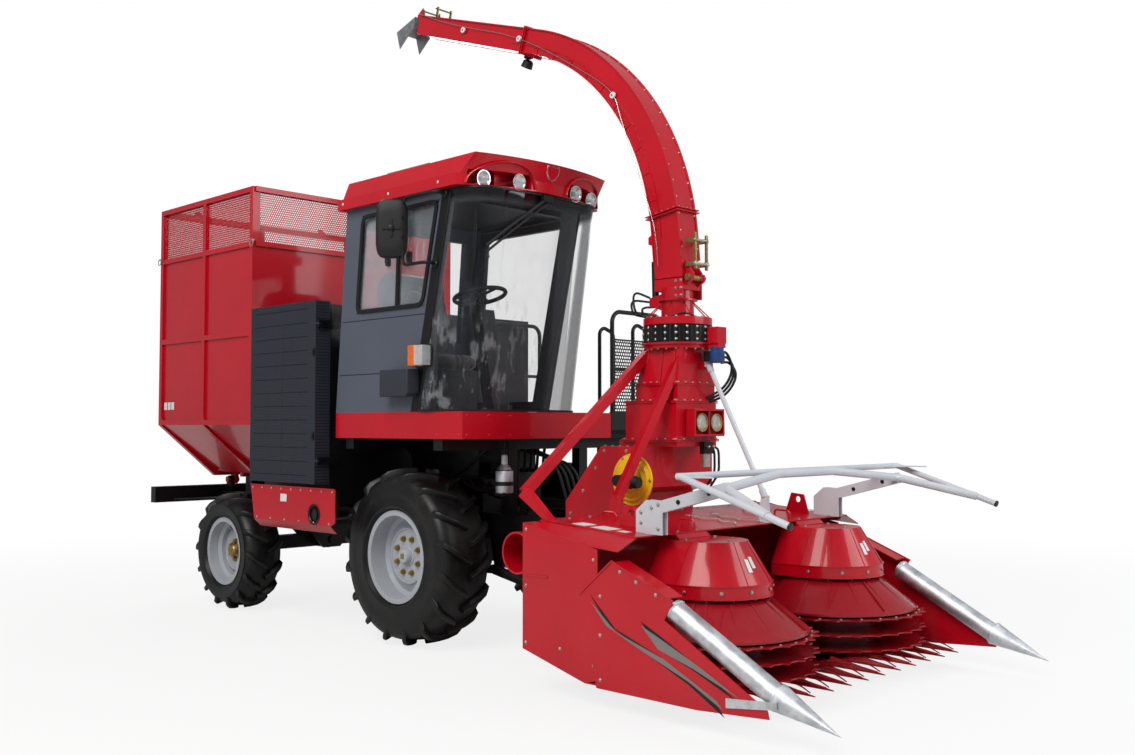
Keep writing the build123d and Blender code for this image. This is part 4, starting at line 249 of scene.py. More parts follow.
    def make(self, name, body, finishes, slot, replaces=(), bevel=0.0, angle=35):
        """Puts the surfaces into one mesh with closed seams and outward faces, and hangs it on its body."""
        mesh = bpy.data.meshes.new(name)
        mesh.from_pydata(metres(np.concatenate(self.points)).tolist(), [], self.faces)
        mesh.polygons.foreach_set("material_index", np.array(self.marks, np.int32))
        work = bmesh.new()
        work.from_mesh(mesh)
        bmesh.ops.remove_doubles(work, verts=work.verts, dist=2e-5)
        bmesh.ops.recalc_face_normals(work, faces=work.faces)
        work.to_mesh(mesh)
        work.free()
        for finish in finishes if isinstance(finishes, (list, tuple)) else [finishes]:
            mesh.materials.append(bpy.data.materials[finish])
        mesh.shade_smooth()
        mesh.set_sharp_from_angle(angle=math.radians(angle))
        piece = bpy.data.objects.new(name, mesh)
        bpy.context.scene.collection.objects.link(piece)
        if bevel:
            edge = piece.modifiers.new("edges", "BEVEL")
            edge.width, edge.segments, edge.use_clamp_overlap = bevel / 1000, 2, True
            edge.limit_method, edge.angle_limit = "ANGLE", math.radians(40)
        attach(piece, body)
        if replaces:
            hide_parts(*replaces)
        return piece


def hex_head(radius, height):
    """A six-sided bolt head with a chamfered top and a washer under it."""
    head, low, wide = Shape(), height * 0.2, radius * 1.35
    head.lathe([(0, height), (radius * 0.8, height), (radius, height * 0.75), (radius, low), (0, low)],
               (0, 0, 0), (0, 0, 1), 6)
    head.lathe([(0, low), (wide, low), (wide, -1), (0, -1)], (0, 0, 0), (0, 0, 1), 14)
    return head


def dome_head(radius, height):
    """A low round rivet head."""
    head = Shape()
    w = np.linspace(0, math.pi / 2, 4)
    profile = np.stack([radius * np.sin(w), height * np.cos(w)], -1).tolist() + [(0, -0.5)]
    head.lathe(profile, (0, 0, 0), (0, 0, 1), 12)
    return head


class Signal:
    """One output socket. Maths written on it in Python adds the Math nodes."""

    def __init__(self, nodes, socket):
        self.nodes, self.socket = nodes, socket

    def maths(self, operation, first, second=0.0):
        return self.nodes.node("ShaderNodeMath", {"operation": operation}, {0: first, 1: second})[0]

    def __add__(self, other): return self.maths("ADD", self, other)
    def __radd__(self, other): return self.maths("ADD", other, self)
    def __sub__(self, other): return self.maths("SUBTRACT", self, other)
    def __rsub__(self, other): return self.maths("SUBTRACT", other, self)
    def __mul__(self, other): return self.maths("MULTIPLY", self, other)
    def __rmul__(self, other): return self.maths("MULTIPLY", other, self)
    def __truediv__(self, other): return self.maths("DIVIDE", self, other)
    def __rtruediv__(self, other): return self.maths("DIVIDE", other, self)
    def __mod__(self, other): return self.maths("FLOORED_MODULO", self, other)
    def __gt__(self, other): return self.maths("GREATER_THAN", self, other)
    def __lt__(self, other): return self.maths("LESS_THAN", self, other)
    def size(self): return self.maths("ABSOLUTE", self)
    def wave(self): return self.maths("SINE", self)
    def root(self): return self.maths("SQRT", self)
    def least(self, other): return self.maths("MINIMUM", self, other)
    def most(self, other): return self.maths("MAXIMUM", self, other)

    def fade(self, low, high):
        """0 below low, 1 above high and a smooth step between."""
        return self.nodes.node("ShaderNodeMapRange", {"interpolation_type": "SMOOTHSTEP"},
                               {"Value": self, "From Min": low, "From Max": high})[0]


class Outputs:
    """The outputs of one node, by number or name, each as a signal."""

    def __init__(self, nodes, made):
        self.nodes, self.made = nodes, made

    def __getitem__(self, key):
        return Signal(self.nodes, self.made.outputs[key])


class Nodes:
    """The emptied node tree of a material or world, to which one method adds every node."""

    def __init__(self, owner):
        owner.use_nodes = True
        self.tree = owner.node_tree
        self.tree.nodes.clear()

    def node(self, kind, settings=None, inputs=None):
        """Adds a node: its settings first, then the values or links of its sockets. Gives back its outputs."""
        made = self.tree.nodes.new(kind)
        for key, value in (settings or {}).items():
            setattr(made, key, value)
        for key, value in (inputs or {}).items():
            self.feed(made.inputs[key], value)
        return Outputs(self, made)

    def feed(self, socket, value):
        """Links a signal to a socket, or sets the socket's own value."""
        if isinstance(value, Signal):
            self.tree.links.new(value.socket, socket)
        else:
            socket.default_value = value


class Finish(Nodes):
    """One node material, built round a Principled shader and Object coordinates."""

    def __init__(self, name, **sockets):
        self.material = bpy.data.materials.new(name)
        super().__init__(self.material)
        self.surface = self.node("ShaderNodeBsdfPrincipled")
        self.output = self.node("ShaderNodeOutputMaterial", {}, {"Surface": self.surface[0]}).made
        self.place = self.node("ShaderNodeTexCoord")["Object"]
        axes = self.node("ShaderNodeSeparateXYZ", {}, {0: self.place})
        self.x, self.y, self.z = (axes[n] for n in range(3))
        self.set(Specular_IOR_Level=0.5)
        self.set(**sockets)

    def set(self, **sockets):
        """Sets or links sockets of the Principled shader by name, with _ for each space."""
        for key, value in sockets.items():
            self.feed(self.surface.made.inputs[key.replace("_", " ")], value)

    def noise(self, scale, detail=3.0, stretch=(1, 1, 1), roughness=0.55):
        """A noise value from 0 to 1, its pattern stretched along the axes."""
        spot = self.node("ShaderNodeMapping", {}, {"Vector": self.place, "Scale": stretch})[0]
        return self.node("ShaderNodeTexNoise", {}, {"Vector": spot, "Scale": scale, "Detail": detail,
                                                     "Roughness": roughness})[0]

    def mix(self, factor, a, b):
        """Colour a where the factor is 0 and colour b where it is 1."""
        return self.node("ShaderNodeMix", {"data_type": "RGBA"}, {0: factor, 6: a, 7: b})[2]

    def bump(self, height, strength=0.3, distance=0.001):
        """Feeds Normal from a height."""
        self.set(Normal=self.node("ShaderNodeBump", {}, {"Height": height, "Strength": strength,
                                                         "Distance": distance})[0])

    def holes(self, a, b, pitch, radius):
        """1 inside round holes in staggered rows across two axes, 0 between them."""
        row = b / pitch
        u = ((a / pitch + ((row % 2.0) > 1.0) * 0.5) % 1.0) - 0.5
        v = (row % 1.0) - 0.5
        return (u * u + v * v).root() < radius / pitch


def shade(colour, factor):
    """A colour times a factor, for the darker and lighter ends of a mix."""
    return tuple(min(1.0, c * factor) for c in colour[:3]) + (1.0,)


def painted(name, colour, rough=0.3, coat=0.6, dust=0.05, peel=0.02):
    """Sprayed enamel: slow colour drift, orange-peel bump, dull streaks and dust that gathers low down."""
    f = Finish(name, Coat_Roughness=0.07, Specular_IOR_Level=0.2)
    drift, streak = f.noise(2.1, 4.0), f.noise(5.0, 4.0)
    base = f.mix(drift.fade(0.3, 0.7) * 0.5, shade(colour, 0.9), shade(colour, 1.08))
    film = (1.0 - f.z.fade(0.05, 0.9)) * f.noise(5.0, 5.0).fade(0.4, 0.8) * dust
    base = f.mix(film, base, linear("8c7f70"))
    f.set(Base_Color=base, Roughness=rough + streak.fade(0.4, 0.8) * 0.08 + film * 0.5,
          Coat_Weight=coat - film * coat)
    f.bump(f.noise(90.0, 2.0) * 0.5 + drift, peel, 0.0012)
    return f


def bare_metal(name, colour, rough=0.3, grain=(1, 1, 1), scale=40.0):
    """Metal with a brushed or spangled grain in its colour and roughness."""
    f = Finish(name, Metallic=1.0)
    grains = f.noise(scale, 5.0, grain)
    f.set(Base_Color=f.mix(grains.fade(0.3, 0.7), shade(colour, 0.75), shade(colour, 1.15)),
          Roughness=rough + grains * 0.2)
    f.bump(grains, 0.1, 0.0006)
    return f


COLOUR = {"subtype": "COLOR", "size": 4, "min": 0, "max": 1}
LENGTH = {"subtype": "DISTANCE", "unit": "LENGTH"}


class HarvesterFinishes(bpy.types.PropertyGroup):
    """Colours of the machine's paints."""
    red: bpy.props.FloatVectorProperty(
        name="Red enamel", description="Body, header, tank and spout", default=linear("b5041a"), **COLOUR)
    knife_red: bpy.props.FloatVectorProperty(
        name="Knife red", description="Toothed discs and fingers", default=linear("920516"), **COLOUR)
    cab: bpy.props.FloatVectorProperty(
        name="Cab slate", description="Cab walls", default=linear("4f5461"), **COLOUR)
    louvre: bpy.props.FloatVectorProperty(
        name="Screen slate", description="Dust screen box", default=linear("2b2e38"), **COLOUR)
    yellow: bpy.props.FloatVectorProperty(
        name="Guard yellow", description="Drive guard disc", default=linear("e8b410"), **COLOUR)


class HarvesterSizes(bpy.types.PropertyGroup):
    """Sizes that change how the fittings are made, and the key lamp's power."""
    lug_height: bpy.props.FloatProperty(
        name="Lug height", description="Height of the tyre lugs", default=0.042, min=0.02, max=0.06, **LENGTH)
    rivet: bpy.props.FloatProperty(
        name="Rivet radius", description="Rivets of the side skirts", default=0.009, min=0.004, max=0.02, **LENGTH)
    key_power: bpy.props.FloatProperty(
        name="Key light", description="Power of the large soft lamp in watts", default=1250.0, min=0, max=5000,
        unit="POWER")


class HARVESTER_OT_finishes(bpy.types.Operator):
    """Makes every material and gives each CAD node its own"""
    bl_idname = "harvester.finishes"
    bl_label = "Finishes"

    def execute(self, context):
        c = context.scene.harvester_finishes
        # Paints: name, colour, roughness, coat and dust
        for name, colour, *look in (
                ("red_enamel", c.red, 0.3, 0.42), ("knife_enamel", c.knife_red, 0.34, 0.5, 0.12),
                ("cab_slate", c.cab, 0.42, 0.25), ("screen_slate", c.louvre, 0.5, 0.1),
                ("guard_yellow", c.yellow, 0.35, 0.4, 0.15), ("rim_silver", linear("a3a7ae"), 0.34, 0.4, 0.15),
                ("tube_grey", linear("c2c5cb"), 0.38, 0.35, 0.1), ("blank_white", linear("dcdcd8"), 0.45, 0.2, 0.15),
                ("flash_grey", linear("77726f"), 0.4, 0.3, 0.1), ("motor_blue", linear("1f3f73"), 0.4, 0.3, 0.1),
                ("box_grey", linear("30333b"), 0.5, 0.1)):
            painted(name, tuple(colour), *look)
        painted("frame_black", linear("08080a"), 0.42, 0.1).set(Specular_IOR_Level=0.3)
        # Metals: name, colour, roughness, grain's stretch and grain's scale
        for name, code, *look in (
                ("nose_silver", "cfd2d6", 0.42, (1, 1, 1), 14.0), ("zinc", "b9b6ad", 0.32, (1, 1, 1), 90.0),
                ("olive_zinc", "8d8250", 0.36, (1, 1, 1), 60.0), ("brass", "a98f52", 0.34, (1, 1, 1), 60.0),
                ("galvanised", "a6a9ab", 0.36, (1, 1, 1), 24.0), ("chrome", "d9dbdd", 0.06, (1, 1, 1), 30.0),
                ("rod_steel", "c2c4c6", 0.12, (1, 8, 1), 50.0)):
            bare_metal(name, linear(code), *look)
        f = Finish("black_plastic", Roughness=0.5, Specular_IOR_Level=0.3)
        f.set(Base_Color=f.mix(f.noise(3.0).fade(0.3, 0.7), linear("0c0c0d"), linear("161719")))
        f.bump(f.noise(420.0, 2.0), 0.25, 0.0006)
        f = Finish("worn_rubber", Specular_IOR_Level=0.32)
        dust = f.noise(7.0, 6.0).fade(0.45, 0.8) * 0.5 + f.noise(60.0, 3.0).fade(0.55, 0.8) * 0.2
        f.set(Base_Color=f.mix(dust * 0.25, linear("0d0d0e"), linear("5a544c")), Roughness=0.4 + dust * 0.4)
        f.bump(f.noise(190.0, 4.0) + f.noise(28.0, 2.0) * 0.6, 0.2, 0.0015)
        # Glass: a rim that thickens where it's seen edge on, and dried smears
        f = Finish("cab_glass", Roughness=0.02)
        rim = f.node("ShaderNodeLayerWeight", {}, {"Blend": 0.2})["Fresnel"]
        smear = f.noise(3.0, 5.0).fade(0.45, 0.8)
        f.set(Base_Color=f.mix(smear, (0.42, 0.46, 0.5, 1), (0.5, 0.54, 0.57, 1)),
              Alpha=(rim * 0.5 + 0.07 + smear * 0.04).least(0.8))
        # Windscreen: a dark band along its top, and rain streaks low on the right
        f = Finish("screen_glass", Roughness=0.02)
        rim = f.node("ShaderNodeLayerWeight", {}, {"Blend": 0.25})["Fresnel"]
        band = f.z.fade(3.12, 3.2)
        run = (f.noise(7.0, 8.0, (1, 1.9, 0.6), 0.7).fade(0.53, 0.58) * (1.0 - f.z.fade(2.1, 2.7))
               * (1.0 - f.y.fade(-0.75, -0.3)))
        f.set(Base_Color=f.mix(band, f.mix(run, (0.1, 0.11, 0.12, 1), (0.32, 0.34, 0.37, 1)),
                               (0.006, 0.006, 0.007, 1)),
              Alpha=(rim * 0.5 + 0.05 + run * 0.22).most(band * 0.8).least(0.95))
        for name, tint, clear in (("clear_lens", linear("e9eef0"), 0.35), ("amber_lens", linear("e06a10"), 0.85),
                                  ("red_lens", linear("a80d0d"), 0.9)):
            f = Finish(name, Roughness=0.06, Coat_Weight=0.5)
            f.set(Base_Color=f.mix(f.noise(30.0).fade(0.3, 0.7), shade(tint, 0.85), tint),
                  Alpha=clear + f.noise(40.0) * 0.1)
            f.bump((f.y * 700.0).wave() * (f.z * 700.0).wave(), 0.5, 0.0012)
        # Sieve: the rows run along x on walls that face sideways and along y on those that face the ends
        f = painted("sieve", tuple(c.red), 0.34, 0.5, 0.0)
        facing = f.node("ShaderNodeSeparateXYZ", {}, {0: f.node("ShaderNodeNewGeometry")["Normal"]})[0].size() > 0.5
        f.set(Alpha=1.0 - f.holes(f.x * (1.0 - facing) + f.y * facing, f.z, 0.019, 0.0064))
        f = painted("mesh_plate", linear("1a1b1d"), 0.5, 0.1, 0.1)
        f.set(Alpha=1.0 - f.holes(f.y, f.z, 0.026, 0.0098))
        f = Finish("seat_weave", Sheen_Weight=0.4, Roughness=0.85)
        weave = (f.x * 2600.0).wave() * (f.y * 2600.0).wave() + (f.z * 2600.0).wave() * 0.5
        f.set(Base_Color=f.mix(f.noise(8.0, 4.0).fade(0.3, 0.7), linear("26272a"), linear("3a3b3f")))
        f.bump(weave * 0.4 + f.noise(90.0) * 0.5, 0.4, 0.0012)
        f = painted("pressed_screen", tuple(c.louvre), 0.55, 0.1, 0.15)
        # Dots pressed in by the bump, with painted shade inside them: their colour is mixed almost to black
        shaded_dots = f.holes(f.x, f.z, 0.012, 0.0036)
        f.set(Base_Color=f.mix(shaded_dots * 0.75, tuple(c.louvre), (0.004, 0.004, 0.005, 1)))
        f.bump(shaded_dots * -1.0, 0.6, 0.002)
        by_node = {
            "front_axle rear_axle rear_knuckle_left rear_knuckle_right main_frame rear_bumper engine_block "
            "engine_bay cab_frame cab_door cab_fittings platform fuel_tank drive_line lift_barrels tank_barrels "
            "fold_barrel slewing_ring": "frame_black",
            "front_rim_left front_rim_right rear_rim_left rear_rim_right": "rim_silver",
            "front_tyre_left front_tyre_right rear_tyre_left rear_tyre_right": "worn_rubber",
            "divider_noses": "nose_silver", "radiator_screen": "pressed_screen", "cab_shell": "cab_slate",
            "air_unit": "flash_grey", "cab_interior": "black_plastic", "pusher_frame": "tube_grey",
            "cab_floor cab_roof tank_body tailgate header_frame drum_covers dividers chopper tower side_panels "
            "spout_base spout_boom": "red_enamel",
            "drum_left drum_right guard_fingers": "knife_enamel", "guard_disc": "guard_yellow",
            "spout_flap": "galvanised", "door_glass cab_windows": "cab_glass", "windscreen": "screen_glass",
            "roof_lamps tower_lamps": "chrome", "seat_cushions": "seat_weave", "tank_screens": "sieve",
            "tank_rods lift_rods fold_rod": "rod_steel",
        }
        for names, finish in by_node.items():
            for name in names.split():
                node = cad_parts[name]
                node.data.materials.clear()
                node.data.materials.append(bpy.data.materials[finish])
        return {"FINISHED"}


class HARVESTER_OT_tyres(bpy.types.Operator):
    """Four bar-lugged tyres in place of the plain ones"""
    bl_idname = "harvester.tyres"
    bl_label = "Tyres"

    def execute(self, context):
        lug_height = context.scene.harvester_sizes.lug_height * 1000
        for end, name, side, hub_x, hub_z, wheel_y, radius, width, rim, lugs, *_ in WHEELS:
            half, tread = width / 2, radius - lug_height
            shape = Shape()
            wall = [(rim - 24, -half + 44), (rim + 4, -half + 42), (rim + 22, -half + 8), (rim + 34, -half + 5),
                    (rim + 40, -half + 9), ((rim + tread) / 2 - 10, -half + 1), ((rim + tread) / 2 + 26, -half + 1),
                    (tread - 62, -half + 9), (tread - 52, -half + 14), (tread - 26, -half + 30),
                    (tread - 8, -half + 78), (tread - 1, -half * 0.4), (tread, 0)]
            wall += [(r, -h) for r, h in wall[-2::-1]]
            shape.lathe(wall, (hub_x, side * wheel_y, hub_z), (0, side, 0), 96)
            # A lug has six stations from the middle over the shoulder, each with a foot and a crown in (y, radius).
            # P(s, k) = foot(s) + across height(k) (crown(s) - foot(s)), turned by ahead(s) + across(k) wide(s).
            foot = np.array([(2, tread - 6), (half * 0.3, tread - 6), (half * 0.58, tread - 8),
                             (half - 44, tread - 22), (half - 24, tread - 44), (half - 16, tread - 92)])
            crown = np.array([(4, radius - 1), (half * 0.3, radius - 1), (half * 0.6, radius - 6),
                              (half - 34, radius - 20), (half - 8, radius - 44), (half - 4, tread - 84)])
            share = np.array([0.0, 0.28, 0.55, 0.8, 0.95, 1.06])
            ahead = -(half - 12) * math.tan(math.radians(38)) * (share * 0.75 + share ** 2 * 0.2)
            rise = [(14, 1.0), (19, 0.94), (24, 0.72), (31, 0.0)]
            across = np.array([(-a, h) for a, h in rise[::-1]] + rise)
            wide = np.array([0.82, 0.95, 1.0, 1.06, 1.08, 0.9])
            line = foot[:, None] + (crown - foot)[:, None] * across[None, :, 1:]
            for row in (1, -1):
                turn = 2 * math.pi * (np.arange(lugs) + (0.5 if row < 0 else 0)) / lugs
                phi = turn[:, None, None] + (ahead[:, None] + across[None, :, 0] * wide[:, None]) / radius
                r, y = line[None, ..., 1], side * (wheel_y + row * line[None, ..., 0])
                spots = np.stack([hub_x + r * np.sin(phi), y + 0 * phi, hub_z + r * np.cos(phi)], -1)
                for lug in spots:
                    shape.grid(lug)
                    shape.ends(lug)
            shape.make("tread_%s_%s" % (end, name), "%s_wheel_%s" % (end, name), "worn_rubber", "tyre_rubber",
                       ["%s_tyre_%s" % (end, name)], angle=42)
        return {"FINISHED"}


class HARVESTER_OT_wheel_fittings(bpy.types.Operator):
    """Rim lips, wheel nuts, hub caps and valves"""
    bl_idname = "harvester.wheel_fittings"
    bl_label = "Wheel fittings"

    def execute(self, context):
        for end, name, side, hub_x, hub_z, wheel_y, _, width, rim, _, disc, hub, nuts in WHEELS:
            shape = Shape()
            hub_at, out = (hub_x, 0, hub_z), (0, side, 0)
            lip = circle((rim - 3, wheel_y + width / 2 - 48, 0), 7, full_turn(10))[:, :2]
            shape.lathe(np.concatenate([lip, lip[:1]]), hub_at, out, 72)
            shape.lathe([(rim * 0.56, disc + 4), (rim * 0.57, disc + 9), (rim * 0.6, disc + 9), (rim * 0.62, disc)],
                        hub_at, out, 60)
            turns = 2 * math.pi * (np.arange(nuts) + 0.5) / nuts
            spots = circle((hub_x, side * (disc + 3), hub_z), hub * 0.82, turns, flat=False)
            shape.repeat(hex_head(17, 31), spots, out, 1)
            shape.lathe([(hub * 0.45, disc - 2), (hub * 0.45, disc + 10), (60, disc + 14), (54, disc + 46),
                         (46, disc + 56), (20, disc + 59), (0, disc + 59)], hub_at, out, 40, 2)
            shape.block((hub_x - 19, hub_x + 19), (side * (disc + 57), side * (disc + 61)),
                        (hub_z - 19, hub_z + 19), 4)
            shape.tube([(hub_x + rim * reach, side * (disc + rise), hub_z)
                        for reach, rise in ((0.74, 2), (0.76, 30), (0.72, 48))], 4, 8, mark=3)
            cap = "brass" if end == "rear" else "rim_silver"
            shape.make("wheel_nuts_%s_%s" % (end, name), "%s_wheel_%s" % (end, name),
                       ["rim_silver", "brass", cap, "black_plastic", "brass"], "silver_paint", angle=30)
        return {"FINISHED"}


def cab_share(z):
    """Share of the cab's height: 0 at its floor, 1 at its top."""
    return (z - CAB_FLOOR) / (CAB_TOP - CAB_FLOOR)


def windscreen_line(z, count=33):
    """Points along the outside of the windscreen at one height: three arcs of its plan curve."""
    side, front, half = 370 + 350 * cab_share(z), 840 + 190 * cab_share(z), 639
    knee = side + (front - side) * 0.72
    p = [(x, CAB_MID + half * share, z)
         for x, share in ((side, -1), (knee, -0.88), (front - 25, -0.55), (front, 0), (front - 25, 0.55),
                          (knee, 0.88), (side, 1))]
    return np.concatenate([arc(*p[0:3], count)[:-1], arc(*p[2:5], count)[:-1], arc(*p[4:7], count)])


def on_screen(y, z, off=0.0):
    """The point of the windscreen's outside at (y, z), moved forward by off."""
    line = windscreen_line(z)
    return (float(np.interp(y, line[:, 1], line[:, 0])) + off, y, z)


class HARVESTER_OT_cab(bpy.types.Operator):
    """Window seals with the side window's stile and latches, and the windscreen's edges"""
    bl_idname = "harvester.cab"
    bl_label = "Cab"

    def execute(self, context):
        seal = Shape()
        y = CAB_RIGHT - 3
        opening = np.array([(-380, y, 2450), (438, y, 2450), (606, y, 3190), (-310, y, 3190)])
        inset = opening + [(14, 0, 14), (-16, 0, 14), (-20, 0, -14), (14, 0, -14)]
        strip = [(-15, -9), (15, -9), (15, 5), (8, 9), (-8, 9), (-15, 5)]
        seal.sweep(strip, rounded_loop(inset, 60), closed=True, level=(0, 1, 0))
        seal.slab([(100, 2462), (132, 2462), (162, 3178), (130, 3178)], 1, CAB_RIGHT - 4, CAB_RIGHT + 14)
        for x in (-20, 235):
            seal.block((x, x + 34), (CAB_RIGHT - 2, CAB_RIGHT + 24), (2780, 2860), 1)
            seal.block((x + 8, x + 26), (CAB_RIGHT - 14, CAB_RIGHT), (2800, 2840), 1)
        for z, half, off in ((CAB_FLOOR + 9, 10, 4), (CAB_TOP - 9, 8, 2)):
            seal.sweep(bar(half, -8, 8), windscreen_line(z, 15) + (off, 0, 0), level=(0, 0, 1))
        for n in (0, -1):
            edge = np.stack([windscreen_line(z, 9)[n] for z in np.linspace(CAB_FLOOR + 8, CAB_TOP - 8, 12)])
            seal.tube(edge + (6, 0, 0), 9, 8)
        seal.make("window_seals", "chassis", ["black_plastic", "box_grey"], "black_paint", bevel=1.5)
        return {"FINISHED"}


class HARVESTER_OT_wiper(bpy.types.Operator):
    """Wiper of the windscreen with its drive and link"""
    bl_idname = "harvester.wiper"
    bl_label = "Wiper"

    def execute(self, context):
        wiper = Shape()
        pivot, bend, hold = (np.array(on_screen(*at))
                             for at in ((-482, 3215, 30), (-760, 3010, 34), (-955, 2840, 26)))
        wiper.pipe([pivot, bend, hold], 60, 5, 12, 8)
        wiper.pipe([pivot + (0, 30, -14), bend + (4, 24, -22), hold + (0, 4, -40)], 60, 5, 9, 8)
        x, y, z = pivot
        wiper.block((x - 26, x + 12), (y - 40, y + 60), (z - 26, z + 22))
        top, low = 3092, 2588
        blade = np.array([on_screen(-1022 + 12 * (top - z) / (top - low), z, 14)
                          for z in np.linspace(top, low, 15)])
        wiper.sweep([(-9, -6), (9, -6), (5, 8), (-5, 8)], blade)
        wiper.tube(blade[3:12:8] + (14, 0, 0), 6, 8)
        wiper.make("wiper", "chassis", "black_plastic", "black_paint", angle=30)
        return {"FINISHED"}


class HARVESTER_OT_cab_panels(bpy.types.Operator):
    """Seams of the cab's wall and rivets of the band under it"""
    bl_idname = "harvester.cab_panels"
    bl_label = "Cab panels"

    def execute(self, context):
        seams = Shape()
        for z in (1990, 2395):
            rear, low, high = -620 + 130 * cab_share(z), 286 + 350 * cab_share(z), 286 + 350 * cab_share(z + 5)
            seams.slab([(rear, z), (low, z), (high, z + 5), (rear, z + 5)], 1, CAB_RIGHT - 1.5, CAB_RIGHT + 2)
        seams.make("cab_seams", "chassis", "frame_black", "cab_grey")

        band = Shape()
        for z in (1545, 1680):
            band.repeat(dome_head(8, 4), [(x, CAB_RIGHT, z) for x in np.linspace(-600, 820, 7)], (0, -1, 0))
            band.repeat(dome_head(8, 4), [(860, y, z) for y in np.linspace(-1050, 360, 8)], (1, 0, 0))
        band.make("band_rivets", "chassis", "red_enamel", "red_paint", angle=60)
        return {"FINISHED"}


class HARVESTER_OT_mirror(bpy.types.Operator):
    """Mirror on its tube arm, turn lamp and step box on the right of the cab"""
    bl_idname = "harvester.mirror"
    bl_label = "Mirror and side lamp"

    def execute(self, context):
        y = CAB_RIGHT - 85
        shape = Shape()
        top, low = 3225, 2745
        shape.pipe([(665, CAB_RIGHT, top), (665, y, top), (300, y, top), (300, y, low), (560, y, low),
                    (560, CAB_RIGHT, low)], 55, 8, 12, 14)
        for x, z in ((665, top), (560, low)):
            shape.lathe([(0, 0), (34, 0), (34, 8), (20, 12), (0, 12)], (x, CAB_RIGHT, z), (0, -1, 0), 20)
            shape.repeat(hex_head(6, 6), [(x - 22, CAB_RIGHT - 8, z), (x + 22, CAB_RIGHT - 8, z)], (0, -1, 0), 1)
        centre = np.array([235.0, -1225.0, 3010.0])
        out, wide = unit(np.array([1.0, -1.0, 0])), unit(np.array([1.0, 1.0, 0]))
        # Housing: rings centre - deep out + scale (114 a wide + 213 b up) on a blunt square (a, b)
        a, b = (k[:, None] for k in blunt(full_turn(40), 0.45))
        rows = [centre - out * deep + a * wide * 114 * scale + b * np.array([0, 0, 213]) * scale
                for deep, scale in ((-29, 0.0), (-29, 0.55), (-27, 0.8), (-16, 0.95), (4, 1.0), (22, 0.99),
                                    (28, 0.96), (24, 0.9), (20, 0.88), (20, 0.0))]
        shape.grid(np.stack(rows), wrap_v=True)
        for ends in (((-62, 0), (62, 0)), ((0, -62), (0, 62))):
            shape.sweep(bar(9, -5, 5), [centre + out * 32 + wide * u + (0, 0, v) for u, v in ends], level=out)
        shape.lathe([(0, 0), (24, 0), (24, 12), (14, 18), (0, 18)], centre + out * 28, out, 20)
        for z in (-70, 70):
            shape.block((262, 318), (-1192, -1158), (centre[2] + z - 14, centre[2] + z + 14))
        shape.make("mirror_right", "chassis", ["black_plastic", "zinc"], "black_paint", ["cab_fittings"], angle=40)

        lamp = Shape()
        for mark, *box in ((0, (372, 446), (-1186, -1104), (2026, 2174)),
                           (1, (448, 540), (-1190, -1104), (2030, 2170)),
                           (2, (364, 548), (-1112, -1100), (2020, 2180)),
                           (2, (420, 480), (-1104, CAB_RIGHT), (2080, 2120))):
            lamp.block(*box, mark)
        lamp.make("turn_lamp", "chassis", ["amber_lens", "clear_lens", "black_plastic"], "lamp_lens", bevel=9)

        box = Shape()
        box.slab([(62, 1816), (366, 1816), (388, 1838), (388, 2008), (62, 2008)], 1, -1198, CAB_RIGHT)
        box.make("side_box", "chassis", "box_grey", "black_paint", bevel=7)
        return {"FINISHED"}


def roof_front(off, z):
    """x of the roof's bowed front face, off millimetres from its middle: it falls back by a power of off."""
    rise = max(z - 3330, 0) / 130
    return 1060 + 30 * rise - (210 - 105 * rise) * min(off / 705, 1.0) ** 2.2


